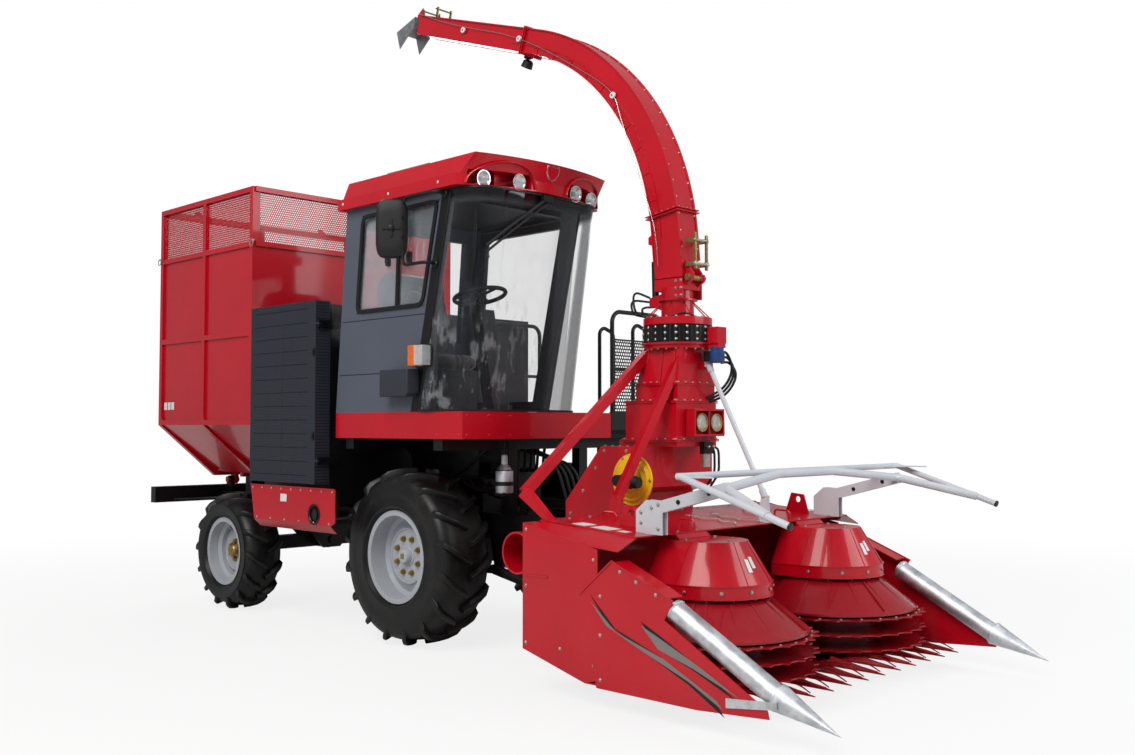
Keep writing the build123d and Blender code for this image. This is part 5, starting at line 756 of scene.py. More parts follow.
class HARVESTER_OT_roof(bpy.types.Operator):
    """Round roof lamps, blank shield, brows, lining and rivets of the roof, and the air unit's grille"""
    bl_idname = "harvester.roof"
    bl_label = "Roof"

    def execute(self, context):
        lamps = Shape()
        for back, off, out in ((925, 280, 52), (845, 535, 46)):
            for y in (CAB_MID - off, CAB_MID + off):
                at = np.array([back + out, y, CAB_TOP + 54])
                bowl = [(0, -out), (28, -out), (32, 4), (52, 34), (60, 44), (60, 56), (54, 56), (50, 46), (22, 26),
                        (0, 22)]
                lens, bulb = [(53, 46), (38, 54), (18, 59), (0, 60)], [(0, 22), (13, 22), (13, 44), (0, 48)]
                for mark, (profile, sides) in enumerate(((bowl, 36), (lens, 36), (bulb, 16))):
                    lamps.lathe(profile, at, (1, 0, -0.12), sides, mark)
                hood = arc(at + (24, -44, 50), at + (24, 0, 72), at + (24, 44, 50), 9)
                lamps.sweep(bar(9, -3, 3), hood, level=(1, 0, 0), mark=2)
        lamps.make("roof_lamp_bowls", "chassis", ["chrome", "clear_lens", "black_plastic"], "lamp_lens",
                   ["roof_lamps"])

        trim = Shape()
        for y in (CAB_RIGHT - 60, CAB_LEFT + 60):
            trim.repeat(dome_head(11, 5), [(x, y, 3292) for x in (-480, 90, 660)], (0, math.copysign(1, y), 0), 1)
        # Blank shield: a larger rim and a smaller field, both on the front face that leans 30 in 135
        shield = np.array([(-62, 96), (-30, 90), (0, 96), (30, 90), (62, 96), (60, 40), (36, 6), (0, -14), (-36, 6),
                           (-60, 40)])
        for grow, x0, x1, mark in ((1.0, -6, 5, 2), (0.84, 4, 8, 0)):
            o = shield * grow + (0, 38 * (1 - grow))
            z = 3352 + o[:, 1]
            face = 1058 + (z - 3325) * 30 / 135
            trim.prism(np.stack([np.stack([face + x, CAB_MID + o[:, 0], z], -1) for x in (x0, x1)]), mark)
        arch = [(150, 3262), (168, 3330), (230, 3392), (330, 3418), (450, 3412), (560, 3380), (630, 3330),
                (655, 3262)]
        for side in (-1, 1):
            line = [(roof_front(u, z) + 3, CAB_MID + side * u, z) for u, z in arch]
            trim.sweep([(-4, -26), (4, -26), (6, 14), (0, 20), (-4, 14)], rounded(line, 60, 6), level=(1, 0, 0))
        lining = [(-500, -1030), (640, -1030), (900, -800), (985, -445), (900, -90), (640, 140), (-500, 140)]
        trim.slab(lining, 2, 3234, 3248, 3)
        trim.make("roof_trim", "chassis", ["red_enamel", "blank_white", "chrome", "black_plastic"], "red_paint",
                  bevel=2)

        grille = Shape()
        for x in range(-330, 84, 46):
            grille.block((x, x + 24), (-780, -140), (3566, 3571))
        for z in range(3478, 3553, 15):
            y = -852 + (z - 3460) / 110 * 40
            grille.block((-360, 140), (y, y + 6), (z, z + 7))
        grille.repeat(hex_head(6, 4), [(x, y, 3570) for x in (-370, 120) for y in (-800, -110)], None, 1)
        grille.make("air_unit_grille", "chassis", ["black_plastic", "zinc"], "black_paint", bevel=1.5)
        return {"FINISHED"}


class HARVESTER_OT_side(bpy.types.Operator):
    """Latches and seams of the dust screen, rivets, blank plate and exhaust ring of the skirts"""
    bl_idname = "harvester.side"
    bl_label = "Screen and skirts"

    def execute(self, context):
        shape = Shape()
        for z in (1500, 2150):
            shape.block((-796, -770), (-1209, -1198), (z, z + 60), 1)
            shape.block((-790, -776), (-1215, -1204), (z + 14, z + 46), 1)
        shape.block((-1246, -1240), (-1202, -1198), (1230, 2500))
        for z in (1190, 2540):
            shape.block((-1690, -790), (-1202.5, -1198), (z, z + 8))
        shape.make("screen_latches", "dust_screen", ["screen_slate", "black_plastic"], "louvre_grey", bevel=1.5)

        skirt = Shape()
        rivet = dome_head(context.scene.harvester_sizes.rivet * 1000, 4)
        for side in (-1, 1):
            spots = [(x, side * 1200, 1110) for x in np.linspace(-1670, -520, 9)]
            spots += [(x, side * 1200, 868) for x in np.linspace(-1600, -560, 6)]
            skirt.repeat(rivet, spots, (0, side, 0), 1)
            skirt.block((-1696, -484), (side * 1203 - 2, side * 1203 + 2), (1122, 1134))
        label = ((-1240, 1010), (-1150, 1010), (-1150, 1070), (-1240, 1070))
        skirt.skin([(x, -1200, z) for x, z in label], 0.2, 1.2, 3)
        skirt.lathe([(66, -2), (80, -2), (80, 5), (68, 5), (62, -2)], (-760, -1200, 930), (0, -1, 0), 36, 2)
        skirt.lathe([(49, 0), (49, 40), (46, 40), (46, 0)], (-760, -1204, 930), (0, 1, 0), 32, 2)
        skirt.make("skirt_trim", "chassis", ["red_enamel", "zinc", "frame_black", "blank_white"], "red_paint")
        return {"FINISHED"}


def spout_line(t):
    """Centre line of the spout by share of its length: straight neck, one round bend and straight reach.

    Gives points in the x-z plane, the unit run, the unit outward normal and the duct's depth."""
    neck, bend, turn, reach, start = 330.0, 1880.0, math.radians(66), 1560.0, math.radians(95)
    s = np.asarray(t, float) * (neck + bend * turn + reach)
    a = start + np.clip((s - neck) / (bend * turn), 0, 1) * turn
    x = TOWER_X + np.minimum(s, neck) * math.cos(start) + bend * (np.sin(a) - math.sin(start))
    z = FOLD_Z + np.minimum(s, neck) * math.sin(start) - bend * (np.cos(a) - math.cos(start))
    over = np.maximum(s - neck - bend * turn, 0)
    x, z = x + over * math.cos(start + turn), z + over * math.sin(start + turn)
    depth = np.interp(s, [0, neck, neck + bend * turn, neck + bend * turn + reach], [240, 240, 180, 150])
    run = np.stack([np.cos(a), 0 * a, np.sin(a)], -1)
    out = np.stack([np.sin(a), 0 * a, -np.cos(a)], -1)
    return np.stack([x, 0 * x, z], -1), run, out, depth


def along_spout(t, share, lift, y):
    """A line on the spout: the centre line moved out by a share of half its depth plus a lift, at side y."""
    p, _, out, depth = spout_line(t)
    return p + out * (depth[:, None] / 2 * share + lift) + (0, y, 0)


class HARVESTER_OT_spout(bpy.types.Operator):
    """Seams, side channels, bolts and flanges of the spout"""
    bl_idname = "harvester.spout"
    bl_label = "Spout"

    def execute(self, context):
        shape = Shape()
        t = np.linspace(0.03, 0.995, 70)
        for s in (-1, 1):
            for section, line in ((bar(5, -9, 9), along_spout(t, 1, 2, s * 98)),
                                  (bar(5, -4, 5), along_spout(t, -0.98, 0, s * 97)),
                                  (bar(5, -5, 5), along_spout(t[3:48], -0.34, 0, s * 96))):
                shape.sweep(section, line, level=(0, 1, 0))
            for place in np.linspace(0.09, 0.61, 11):
                spots, _, out, depth = spout_line(np.array([place - 0.011, place, place + 0.011]))
                inner, outer = (spots - out * (depth[:, None] * share) + (0, s * 96, 0) for share in (0.49, 0.17))
                for ends in ((inner[1], outer[1]), (outer[1], outer[2] - out[2] * 22)):
                    shape.sweep(bar(4, -4, 5), np.stack(ends), level=(0, 1, 0))
        place = np.linspace(0.05, 0.97, 34)
        for y in (-84, 84):
            shape.repeat(hex_head(6, 6), along_spout(place, 1, 0, y), spout_line(place)[2], 1)
        corners = ((-1, -1), (-1, 1), (1, 1), (1, -1))
        for at, grow in ((0.112, 26), (0.655, 20)):
            p, run, out, depth = spout_line(np.array([at]))
            half, wide = depth[0] / 2 + grow, 95 + grow
            for shift in (-9, 9):
                c = p[0] + run[0] * shift
                loop, inner = (np.stack([c + out[0] * (half - cut) * a + (0, (wide - cut) * b, 0)
                                         for a, b in corners]) for cut in (0, grow + 4))
                for face in (-3.5, 3.5):
                    shape.grid(np.stack([loop + run[0] * face, inner + run[0] * face]), wrap_v=True)
                shape.grid(np.stack([loop - run[0] * 3.5, loop + run[0] * 3.5]), wrap_v=True)
            k = np.linspace(-0.8, 0.8, 5)
            spots = [p[0] + out[0] * (half - grow / 2) * a + (0, (wide - grow / 2) * b, 0)
                     for a, b in [(s, v) for s in (-1, 1) for v in k] + [(v, s) for s in (-1, 1) for v in k]]
            shape.repeat(hex_head(7, 9), np.array(spots) + run[0] * 12, run[0], 1)
        shape.make("spout_seams", "spout", ["red_enamel", "zinc"], "red_paint", angle=30)

        lamp = Shape()
        p, _, out, depth = spout_line(np.array([0.66]))
        under = p[0] - out[0] * (depth[0] / 2)
        lamp.block((under[0] - 22, under[0] + 22), (-30, 30), (under[2] - 34, under[2] + 6))
        lamp.tube([under - (0, 0, 20), under - (0, 0, 70)], 9, 8)
        for mark, profile in enumerate((
                [(0, -52), (24, -52), (40, -38), (46, 6), (48, 12), (42, 12), (38, 6), (0, 2)],
                [(0, 10), (24, 9), (41, 6)])):
            lamp.lathe(profile, under - (20, 0, 92), (-0.5, 0, -0.85), 24, mark)
        lamp.make("spout_lamp", "spout", ["black_plastic", "clear_lens"], "black_paint", bevel=3)
        return {"FINISHED"}


class HARVESTER_OT_flap_cable(bpy.types.Operator):
    """Cable of the spout's flap with its pulleys and brackets"""
    bl_idname = "harvester.flap_cable"
    bl_label = "Flap cable"

    def execute(self, context):
        pulleys = Shape()
        wheel = [(0, -7), (22, -7), (24, -5), (17, 0), (24, 5), (22, 7), (0, 7)]
        for x, z in ((-308, 4858), (363, 4623), (1348, 3974)):
            pulleys.lathe(wheel, (x, -112, z), (0, -1, 0), 24)
            pulleys.pin((x, -112, z), (0, -1, 0), 9, -24, 10, 8, 1)
        for x, z, lean in ((-880, 5149, 0), (-700, 5125, 14)):
            bracket = [(x - 14, z - 34), (x + 14, z - 34), (x + 14 + lean, z + 34), (x - 4 + lean, z + 40)]
            for y in (-70, 70):
                pulleys.slab(bracket, 1, y - 4, y + 4, 2)
            pulleys.tube([(x + 6, -86, z + 22), (x + 6, 86, z + 22)], 7, 10, mark=2)
        pulleys.make("cable_pulleys", "spout", ["blank_white", "zinc", "olive_zinc"], "silver_paint")

        curve = bpy.data.curves.new("flap_cable", "CURVE")
        curve.dimensions, curve.bevel_depth, curve.bevel_resolution, curve.resolution_u = "3D", 0.003, 2, 16
        route = metres([(-880, -112, 5140), (-700, -112, 5050), (-308, -112, 4882), (363, -112, 4646),
                        (1100, -112, 4190), (1364, -112, 3990), (1420, -112, 3800), (1700, -118, 3100),
                        (1760, -120, 2900), (1770, -118, 2700)])
        spline = curve.splines.new("NURBS")
        spline.points.add(len(route) - 1)
        spline.points.foreach_set("co", np.concatenate([route, np.ones((len(route), 1))], 1).ravel())
        spline.order_u, spline.use_endpoint_u = 3, True
        cable = bpy.data.objects.new("flap_cable", curve)
        context.scene.collection.objects.link(cable)
        curve.materials.append(bpy.data.materials["rod_steel"])
        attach(cable, "spout")
        return {"FINISHED"}


class HARVESTER_OT_tower(bpy.types.Operator):
    """Flanges, ribs and bolt rows of the header's tower"""
    bl_idname = "harvester.tower"
    bl_label = "Tower"

    def execute(self, context):
        shape = Shape()
        for z, half, x0, x1 in ((1510, 240, 1540, 2012), (1770, 228, 1552, 2012), (1890, 212, 1640, 2012)):
            for low in (z - 9, z + 1):
                shape.block((x0, x1), (-half, half), (low, low + 8))
            spots = [(x, s * (half - 14), z + 9) for x in np.linspace(x0 + 20, x1 - 20, 7) for s in (-1, 1)]
            spots += [(x1 - 10, y, z + 9) for y in np.linspace(-half + 20, half - 20, 6)]
            shape.repeat(hex_head(8, 8), spots, None, 1)
        for s in (-1, 1):
            for low, high in (((1700, 200), (1730, 166)), ((1845, 200), (1845, 166)), ((1960, 200), (1950, 166))):
                shape.sweep(bar(5, -12, 12), [(low[0], s * low[1], 1895), (high[0], s * high[1], 2136)],
                            level=(1, 0, 0))
        shape.lathe([(150, 0), (246, 0), (246, 14), (150, 14)], (TOWER_X, 0, RING_BOTTOM - 16), (0, 0, 1))
        spots = circle((TOWER_X, 0, RING_BOTTOM - 40), 212, full_turn(20))
        shape.repeat(hex_head(9, 10), spots, (0, 0, -1), 1)
        shape.make("tower_flanges", "header", ["red_enamel", "zinc"], "red_paint", bevel=1.5)
        return {"FINISHED"}


class HARVESTER_OT_tower_lamps(bpy.types.Operator):
    """Twin lamps in their frame on the tower's front"""
    bl_idname = "harvester.tower_lamps"
    bl_label = "Tower lamps"

    def execute(self, context):
        lamps = Shape()
        lamps.slab([(-118, 1538), (208, 1538), (208, 1722), (-118, 1722)], 0, 2006, 2030)
        for y, z in (((-118, 208), (1538, 1552)), ((-118, 208), (1708, 1722)), ((-118, -104), (1552, 1708)),
                     ((194, 208), (1552, 1708))):
            lamps.block((2028, 2082), y, z)
        lamps.block((2028, 2080), (38, 52), (1552, 1708))
        bowl = [(0, 0), (40, 0), (50, 30), (58, 62), (62, 66), (62, 76), (55, 76), (52, 62), (30, 40), (0, 32)]
        lens, bulb = [(54, 68), (36, 76), (18, 79), (0, 80)], [(0, 34), (14, 34), (14, 58), (0, 62)]
        for y in (-33, 123):
            for mark, (profile, sides) in enumerate(((bowl, 40), (lens, 40), (bulb, 16)), 1):
                lamps.lathe(profile, (2006, y, 1630), (1, 0, 0), sides, mark)
        lamps.make("tower_lamp_pair", "header", ["red_enamel", "brass", "clear_lens", "zinc"], "lamp_lens",
                   ["tower_lamps"], bevel=2)
        return {"FINISHED"}


class HARVESTER_OT_slewing(bpy.types.Operator):
    """Slewing motor, valve block, hoses and the ring's studs"""
    bl_idname = "harvester.slewing"
    bl_label = "Slewing drive"

    def execute(self, context):
        gear = Shape()
        gear.lathe([(0, 0), (46, 0), (50, 6), (50, 70), (44, 78), (44, 110), (30, 118), (0, 118)], (2135, 60, 2030),
                   (0, 0, 1), 32, 2)
        gear.block((2050, 2110), (20, 110), (2040, 2110))
        for y, z in ((30, 2060), (90, 2060), (60, 2105)):
            gear.lathe([(0, 0), (13, 0), (13, 20), (9, 26), (0, 26)], (2110, y, z), (1, 0, 0), 6, 1)
        for n in range(3):
            y = 118 + 16 * n
            gear.pipe([(2140, 96, 2100 - 34 * n), (2150, y + 30, 2110 - 34 * n),
                       (2176 + 6 * n, y + 70, 1990 - 20 * n), (2120, y + 40, 1860 - 20 * n),
                       (2006, y - 10, 1800 - 16 * n)], 70, 7, 9)
        gear.block((2006, 2046), (30, 130), (1420, 1500))
        gear.block((2006, 2028), (44, 116), (1330, 1420), 1)
        for y in (56, 104):
            gear.lathe([(0, 0), (12, 0), (12, 26), (8, 34), (0, 34)], (2046, y, 1465), (1, 0, 0), 6, 1)
            gear.pipe([(2078, y, 1465), (2110, y, 1450), (2104, y + 10, 1290), (2010, y + 20, 1180)], 50, 6, 8)
        turns = full_turn(20)
        for z in (2188, 2230, 2272):
            gear.repeat(dome_head(10, 6), circle((TOWER_X, 0, z), 238, turns), circle((0, 0, 0), 1, turns), 1)
        gear.make("tower_hydraulics", "header", ["black_plastic", "zinc", "motor_blue"], "black_paint")
        return {"FINISHED"}


class HARVESTER_OT_spout_neck(bpy.types.Operator):
    """Bolts, ribs, hinge pin and hoses of the spout's turning neck, and the fold linkage on the spout"""
    bl_idname = "harvester.spout_neck"
    bl_label = "Spout neck"

    def execute(self, context):
        neck = Shape()
        neck.repeat(hex_head(9, 10), circle((TOWER_X, 0, RING_TOP + 50), 214, full_turn(20)), None, 1)
        neck.lathe([(112, 0), (136, 0), (136, 12), (112, 12)], (TOWER_X, 0, 2460), (0, 0, 1), 40)
        for w in full_turn(8) + 0.3:
            c, s = math.cos(w), math.sin(w)
            neck.sweep(bar(4, -1, 1), [(TOWER_X + r * c, r * s, z) for r, z in ((112, 2450), (228, 2342))],
                       level=(-s, c, 0))
        for s in (-1, 1):
            neck.slab([(TOWER_X + x, z) for x, z in ((60, 2470), (128, 2470), (128, 2606), (60, 2606))], 1,
                      s * 95, s * 108)
            spots = [(TOWER_X + x, s * 108, z) for x in (72, 116) for z in (2490, 2540, 2590)]
            neck.repeat(hex_head(8, 8), spots, (0, s, 0), 1)
        neck.pin((HINGE_X, 0, FOLD_Z), (0, 1, 0), 20, -92, 92, 18, 2)
        for s in (-1, 1):
            neck.pin((HINGE_X, s * 80, FOLD_Z), (0, s, 0), 26, 0, 8, 6, 2)
        for n, (far, high) in enumerate(((1490, 2560), (1450, 2500), (1530, 2440))):
            neck.pipe([(1626, -36 + 30 * n, 2500 - 30 * n), (far, -60 + 20 * n, high),
                       (far + 20, -70 + 30 * n, 2410 - 16 * n), (1640, -130 + 30 * n, 2360),
                       (1700, -150 + 40 * n, 2352)], 70, 7, 8, mark=3)
        w = np.linspace(math.radians(150), math.radians(-40), 24)
        wire = np.stack([TOWER_X + 150 * np.cos(w), -150 * np.sin(w) - 10, 2352 + 16 * np.sin(3 * w)], -1)
        neck.tube(wire, 6, 8, mark=3)
        neck.make("neck_fittings", "spout_neck", ["red_enamel", "zinc", "olive_zinc", "black_plastic"], "red_paint")

        link = Shape()
        for s in (-1, 1):
            for z in (2700, 2860):
                link.block((1965, 2062), (s * 60 - 7, s * 60 + 7), (z - 16, z + 16))
            link.block((2040, 2058), (s * 60 - 9, s * 60 + 9), (2660, 2900))
            link.pin((2050, s * 60, 2700), (0, 1, 0), 15, -14, 14, 14, 1)
        for z in (2860, 2700):
            link.tube([(2050, -76, z), (2050, 76, z)], 9, 10, mark=1)
        link.make("fold_linkage", "spout", ["olive_zinc", "zinc"], "steel", bevel=3)
        return {"FINISHED"}


class HARVESTER_OT_drive_guard(bpy.types.Operator):
    """Ribbed yellow guard disc with its shaft cone, and the lid bolts of the chopper"""
    bl_idname = "harvester.drive_guard"
    bl_label = "Drive guard"

    def execute(self, context):
        shape = Shape()
        at, out = (GUARD_X, GUARD_Y, GUARD_Z), (0, -1, 0)
        # Dome: a paraboloid 52 mm high whose ribs are a sine of the radius
        r = np.linspace(166, 58, 30)
        h = 8 + 44 * (1 - (r / 170) ** 2) + 3.5 * np.sin(r / 5.2)
        profile = [(0, 0), (172, 0), (174, 6), (170, 12)] + np.stack([r, h], -1).tolist() + [(56, 62), (0, 62)]
        shape.lathe(profile, at, out, 56)
        spots = circle((GUARD_X, GUARD_Y - 14, GUARD_Z), 158, full_turn(6), flat=False)
        shape.repeat(hex_head(8, 7), spots, out, 2)
        shape.lathe([(0, 60), (46, 60), (46, 92), (38, 100), (38, 168), (0, 168)], at, out, 36, 1)
        # Shaft cone: a bellows whose every second ring stands 4 mm out
        w = np.linspace(0, 1, 16)
        cone = np.stack([46 - 14 * w + 4 * (np.arange(16) % 2), 110 * w], -1).tolist()
        shape.lathe([(0, 0)] + cone + [(0, 110)], (GUARD_X + 46, GUARD_Y - 120, GUARD_Z - 4), (1, 0, -0.06), 32, 1)
        shape.make("guard_dome", "header", ["guard_yellow", "black_plastic", "zinc"], "yellow_paint",
                   ["guard_disc"], angle=50)

        lid = Shape()
        spots = [(x, s * 350, 1470) for x in np.linspace(1490, 1830, 6) for s in (-1, 1)]
        lid.repeat(hex_head(9, 8), spots)
        walls = ((1180, 1000), (1300, 1160), (1420, 1320), (1500, 1440), (1700, 1440), (1840, 1440), (1600, 700),
                 (1640, 500), (1670, 1100))
        for s in (-1, 1):
            lid.repeat(hex_head(9, 8), [(x, s * 370, z) for x, z in walls], (0, s, 0))
        lid.block((1200, 1204), (-330, 330), (1160, 1164))
        lid.make("chopper_bolts", "header", ["zinc"], "steel")
        return {"FINISHED"}


def deck_z(x):
    """Height of the header's deck, a straight slope that falls 55 in 780."""
    return 1028 - (x - 1680) / 780 * 55


class HARVESTER_OT_deck(bpy.types.Operator):
    """Bolts, seams, handles, blank labels and safety chains of the header's deck"""
    bl_idname = "harvester.deck"
    bl_label = "Header deck"

    def execute(self, context):
        deck = Shape()
        spots = [(x, y, deck_z(x)) for x in (1720, 2440) for y in np.linspace(-1120, 1120, 13)]
        deck.repeat(hex_head(8, 7), spots, None, 1)
        for y in (-300, 300):
            deck.block((1690, 2450), (y - 3, y + 3), (deck_z(2450) - 6, deck_z(2450) + 2))
        for y, x in ((-520, 2330), (-760, 1900), (520, 2330), (760, 1900)):
            z = deck_z(x)
            deck.pipe([(x - 60, y, z - 4), (x - 60, y, z + 52), (x + 60, y, z + 48), (x + 60, y, z - 8)], 24, 5, 7)
        for x, y, long, wide in ((2060, -1105, 150, 120), (1900, -1100, 110, 110), (2250, -1080, 70, 60),
                                 (2050, 1060, 150, 110)):
            low, high = deck_z(x + long), deck_z(x)
            deck.skin([(x + long, y, low), (x + long, y + wide, low), (x, y + wide, high), (x, y, high)],
                      0.4, 1.2, 2)
        deck.make("deck_fittings", "header", ["red_enamel", "zinc", "blank_white"], "red_paint")

        # Chains: links that stand by turns, on a line that bows and waves as two sines across the deck
        chain = Shape()
        s = np.linspace(0, 1, 46)
        c, t = (k[:, None] for k in (np.cos(full_turn(12)), np.sin(full_turn(12))))
        for y, bow in ((-120, 46), (150, -38)):
            x = 2010 + 400 * s
            line = np.stack([x, y + bow * np.sin(math.pi * s) + 24 * np.sin(5 * math.pi * s), deck_z(x) + 8], -1)
            run = unit(np.gradient(line, axis=0))
            side = unit(np.cross(run, (0, 0, 1)))
            for k in range(len(s)):
                across = side[k] if k % 2 else unit(np.cross(side[k], run[k]))
                lift = (0, 0, 0 if k % 2 else 3)
                chain.tube(line[k] + lift + run[k] * 9 * c + across * 5 * t, 2.2, 6, closed=True)
        chain.make("deck_chains", "header", "zinc", "steel")
        return {"FINISHED"}


class HARVESTER_OT_covers(bpy.types.Operator):
    """Pleats, hems, bolts and blank labels of the two drum covers"""
    bl_idname = "harvester.covers"
    bl_label = "Drum covers"

    def execute(self, context):
        cover = Shape()
        for y in (-DRUM_Y, DRUM_Y):
            for w in np.radians([-90, -54, -18, 18, 54, 90]):
                c, s = math.cos(w), math.sin(w)
                line = [(DRUM_X + r * c, y + r * s, z) for r, z in ((COVER_R, 702), (210, 936))]
                cover.sweep(bar(2.2, -1, 2.2), line, level=(-s, c, 0))
            front = circle((DRUM_X, y, 0), COVER_R, np.linspace(-math.pi / 2, math.pi / 2, 40))
            hem = np.concatenate([[(2405, y - COVER_R, 0)], front, [(2405, y + COVER_R, 0)]])
            for section, z in ((bar(4, -5, 5), 630), (bar(3, -3, 3), 701)):
                cover.sweep(section, hem + (0, 0, z), level=(0, 0, 1))
            turns = np.radians([-80, -45, -15, 15, 45, 80])
            cover.repeat(hex_head(8, 7), circle((DRUM_X, y, 666), COVER_R + 3, turns),
                         circle((0, 0, 0), 1, turns), 1)
            spots = [(DRUM_X - 90, y - 140, 935), (DRUM_X - 90, y + 140, 935), (DRUM_X + 120, y, 935)]
            cover.repeat(hex_head(9, 8), spots, None, 1)
            # Labels lie on the crown, whose radius falls by 0.604 of its height
            for w, low, high in ((-0.2, 770, 840), (-0.06, 790, 852)):
                corners = []
                for turn, z in ((w, low), (w + 0.1, low), (w + 0.1, high), (w, high)):
                    r = 352 - (z - 700) * 0.604
                    corners.append((DRUM_X + r * math.cos(turn), y + r * math.sin(turn), z))
                cover.skin(corners, 2.0, 1.2, 2)
        cover.make("cover_trim", "header", ["red_enamel", "zinc", "blank_white"], "red_paint")
        return {"FINISHED"}


class HARVESTER_OT_tines(bpy.types.Operator):
    """Pairs of tapering wire tines over the twelve fingers, with their centre plates and bolts"""
    bl_idname = "harvester.tines"
    bl_label = "Finger tines"

    def execute(self, context):
        tines = Shape()
        for n in range(12):
            y = (n - 5.5) * 190
            for s in (-1, 1):
                tines.pipe([(2950, y + s * 46, 158), (3080, y + s * 62, 176), (3190, y + s * 52, 172),
                            (3290, y + s * 12, 146)], 70, 6, np.linspace(9, 4, 14), 8)
            tines.slab([(2960, 196), (3030, 186), (3240, 150), (2960, 160)], 1, y - 3, y + 3)
            tines.repeat(hex_head(8, 7), [(2948, y, 158.5)], None, 1)
        tines.make("finger_tines", "header", ["knife_enamel", "zinc"], "red_paint")
        return {"FINISHED"}


class HARVESTER_OT_dividers(bpy.types.Operator):
    """Stripes, bolts and edges of the dividers, and the rings of their noses"""
    bl_idname = "harvester.dividers"
    bl_label = "Dividers"

    def execute(self, context):
        side = Shape()
        # Stripes: grey ones over black ones that are a little larger about the same middle
        y = -SIDE_HALF - 10.2
        for outline in ([(2262, 600), (2450, 455), (2800, 352), (3150, 190), (3190, 150), (2960, 262), (2600, 392),
                         (2380, 480)],
                        [(2640, 512), (2790, 452), (3040, 346), (3290, 226), (3000, 330), (2760, 400)]):
            o = np.array(outline, float)
            middle = o.mean(0)
            side.slab(middle + (o - middle) * (1.02, 1.18), 1, y, y + 1.5, 1)
            side.slab(o, 1, y - 1, y + 1)
        plate = ((2330, 170), (2330, 420), (2330, 640), (2480, 790), (2600, 745), (2740, 690))
        wall = ((1710, 300), (1710, 640), (1710, 980), (2000, 300), (2270, 240), (2270, 560), (2270, 840))
        for s in (-1, 1):
            spots = [(x, s * DIVIDER_FACE, z) for x, z in plate] + [(x, s * SIDE_HALF, z) for x, z in wall]
            side.repeat(hex_head(8, 6), spots, (0, s, 0), 2)
            side.slab([(2160, 640), (2420, 852), (2862, 672), (2856, 662), (2420, 840), (2172, 634)], 1,
                      s * 1307, s * 1314, 3)
            side.slab([(1700, 700), (1900, 700), (1900, 712), (1700, 712)], 1, s * 1299, s * 1306, 3)
        side.make("divider_trim", "header", ["flash_grey", "frame_black", "zinc", "red_enamel"], "red_paint")

        nose = Shape()
        run, tip = unit(np.array([675.0, 0, -369.0])), unit(np.array([355.0, 0, -132.0]))
        for s in (-1, 1):
            y = s * (SIDE_HALF - 60)
            for share in (0.02, 0.985):
                nose.lathe([(58, -8), (63, -8), (65, -4), (65, 4), (63, 8), (58, 8)],
                           np.array([2815, y, 615]) + run * 769 * share, run, 40)
            nose.repeat(hex_head(10, 9), [(3500, s * 1305, 222)], (0, s, 0), 1)
            nose.lathe([(70, -3), (74.5, -3), (74.5, 6), (68, 9)], (3485, y, 250), tip, 40)
        nose.make("nose_trim", "header", ["nose_silver", "zinc"], "silver_paint")
        return {"FINISHED"}


class HARVESTER_OT_drums(bpy.types.Operator):
    """Radial ribs and bolts of the two drums"""
    bl_idname = "harvester.drums"
    bl_label = "Drums"

    def execute(self, context):
        for name, y in (("drum_right", -DRUM_Y), ("drum_left", DRUM_Y)):
            shape = Shape()
            for w in full_turn(16) + math.radians(8):
                c, s = math.cos(w), math.sin(w)
                line = [(DRUM_X + r * c, y + r * s, z) for r, z in ((548, 432), (440, 521), (338, 604))]
                shape.sweep(bar(4, -3, 12), line, level=(-s, c, 0))
            for radius, count, z, size in ((572, 28, 403, 7), (300, 12, 609, 8)):
                shape.repeat(hex_head(size, 6), circle((DRUM_X, y, z), radius, full_turn(count)), None, 1)
            shape.make(name + "_ribs", name, ["knife_enamel", "zinc"], "red_paint")
        return {"FINISHED"}


class HARVESTER_OT_tank(bpy.types.Operator):
    """Tie rings, gussets, rivets and blank labels of the tank, and the tail lamps"""
    bl_idname = "harvester.tank"
    bl_label = "Tank"

    def execute(self, context):
        ties = Shape()
        for x, s in ((-3580, -1), (-3580, 1), (-1890, -1)):
            ties.tube(circle((x, s * 1112, 3165), 26, full_turn(20), flat=False), 4, 8, closed=True, mark=1)
            ties.block((x - 8, x + 8), (s * 1101 - 12, s * 1101 + 12), (3184, 3198), 1)
        for s in (-1, 1):
            for x in (-3550, -2740, -1970):
                ties.slab([(x, 1620), (x + 60, 1620), (x, 1700)], 1, s * 1086 - 3, s * 1086 + 3)
            spots = [(x, s * 1090, z) for x in np.linspace(-3560, -1940, 12) for z in (3168, 3638)]
            ties.repeat(dome_head(7, 4), spots, (0, s, 0))
        y = -1070.5
        for x in (-3520, -3450, -3380):
            ties.skin([(x, y, 1760), (x + 54, y, 1760), (x + 54, y, 1830), (x, y, 1830)], 0.4, 1.0, 2)
        ties.make("tank_ties", "crop_tank", ["red_enamel", "zinc", "blank_white"], "red_paint")

        lamps = Shape()
        for s in (-1, 1):
            lamps.block((-3730, -3722), (s * 960 - 70, s * 960 + 70), (910, 1000), 1)
            lamps.block((-3730, -3724), (s * 960 - 62, s * 956), (918, 992), 0)
        lamps.make("tail_lamps", "chassis", ["red_lens", "black_plastic"], "lamp_lens", bevel=2)
        return {"FINISHED"}


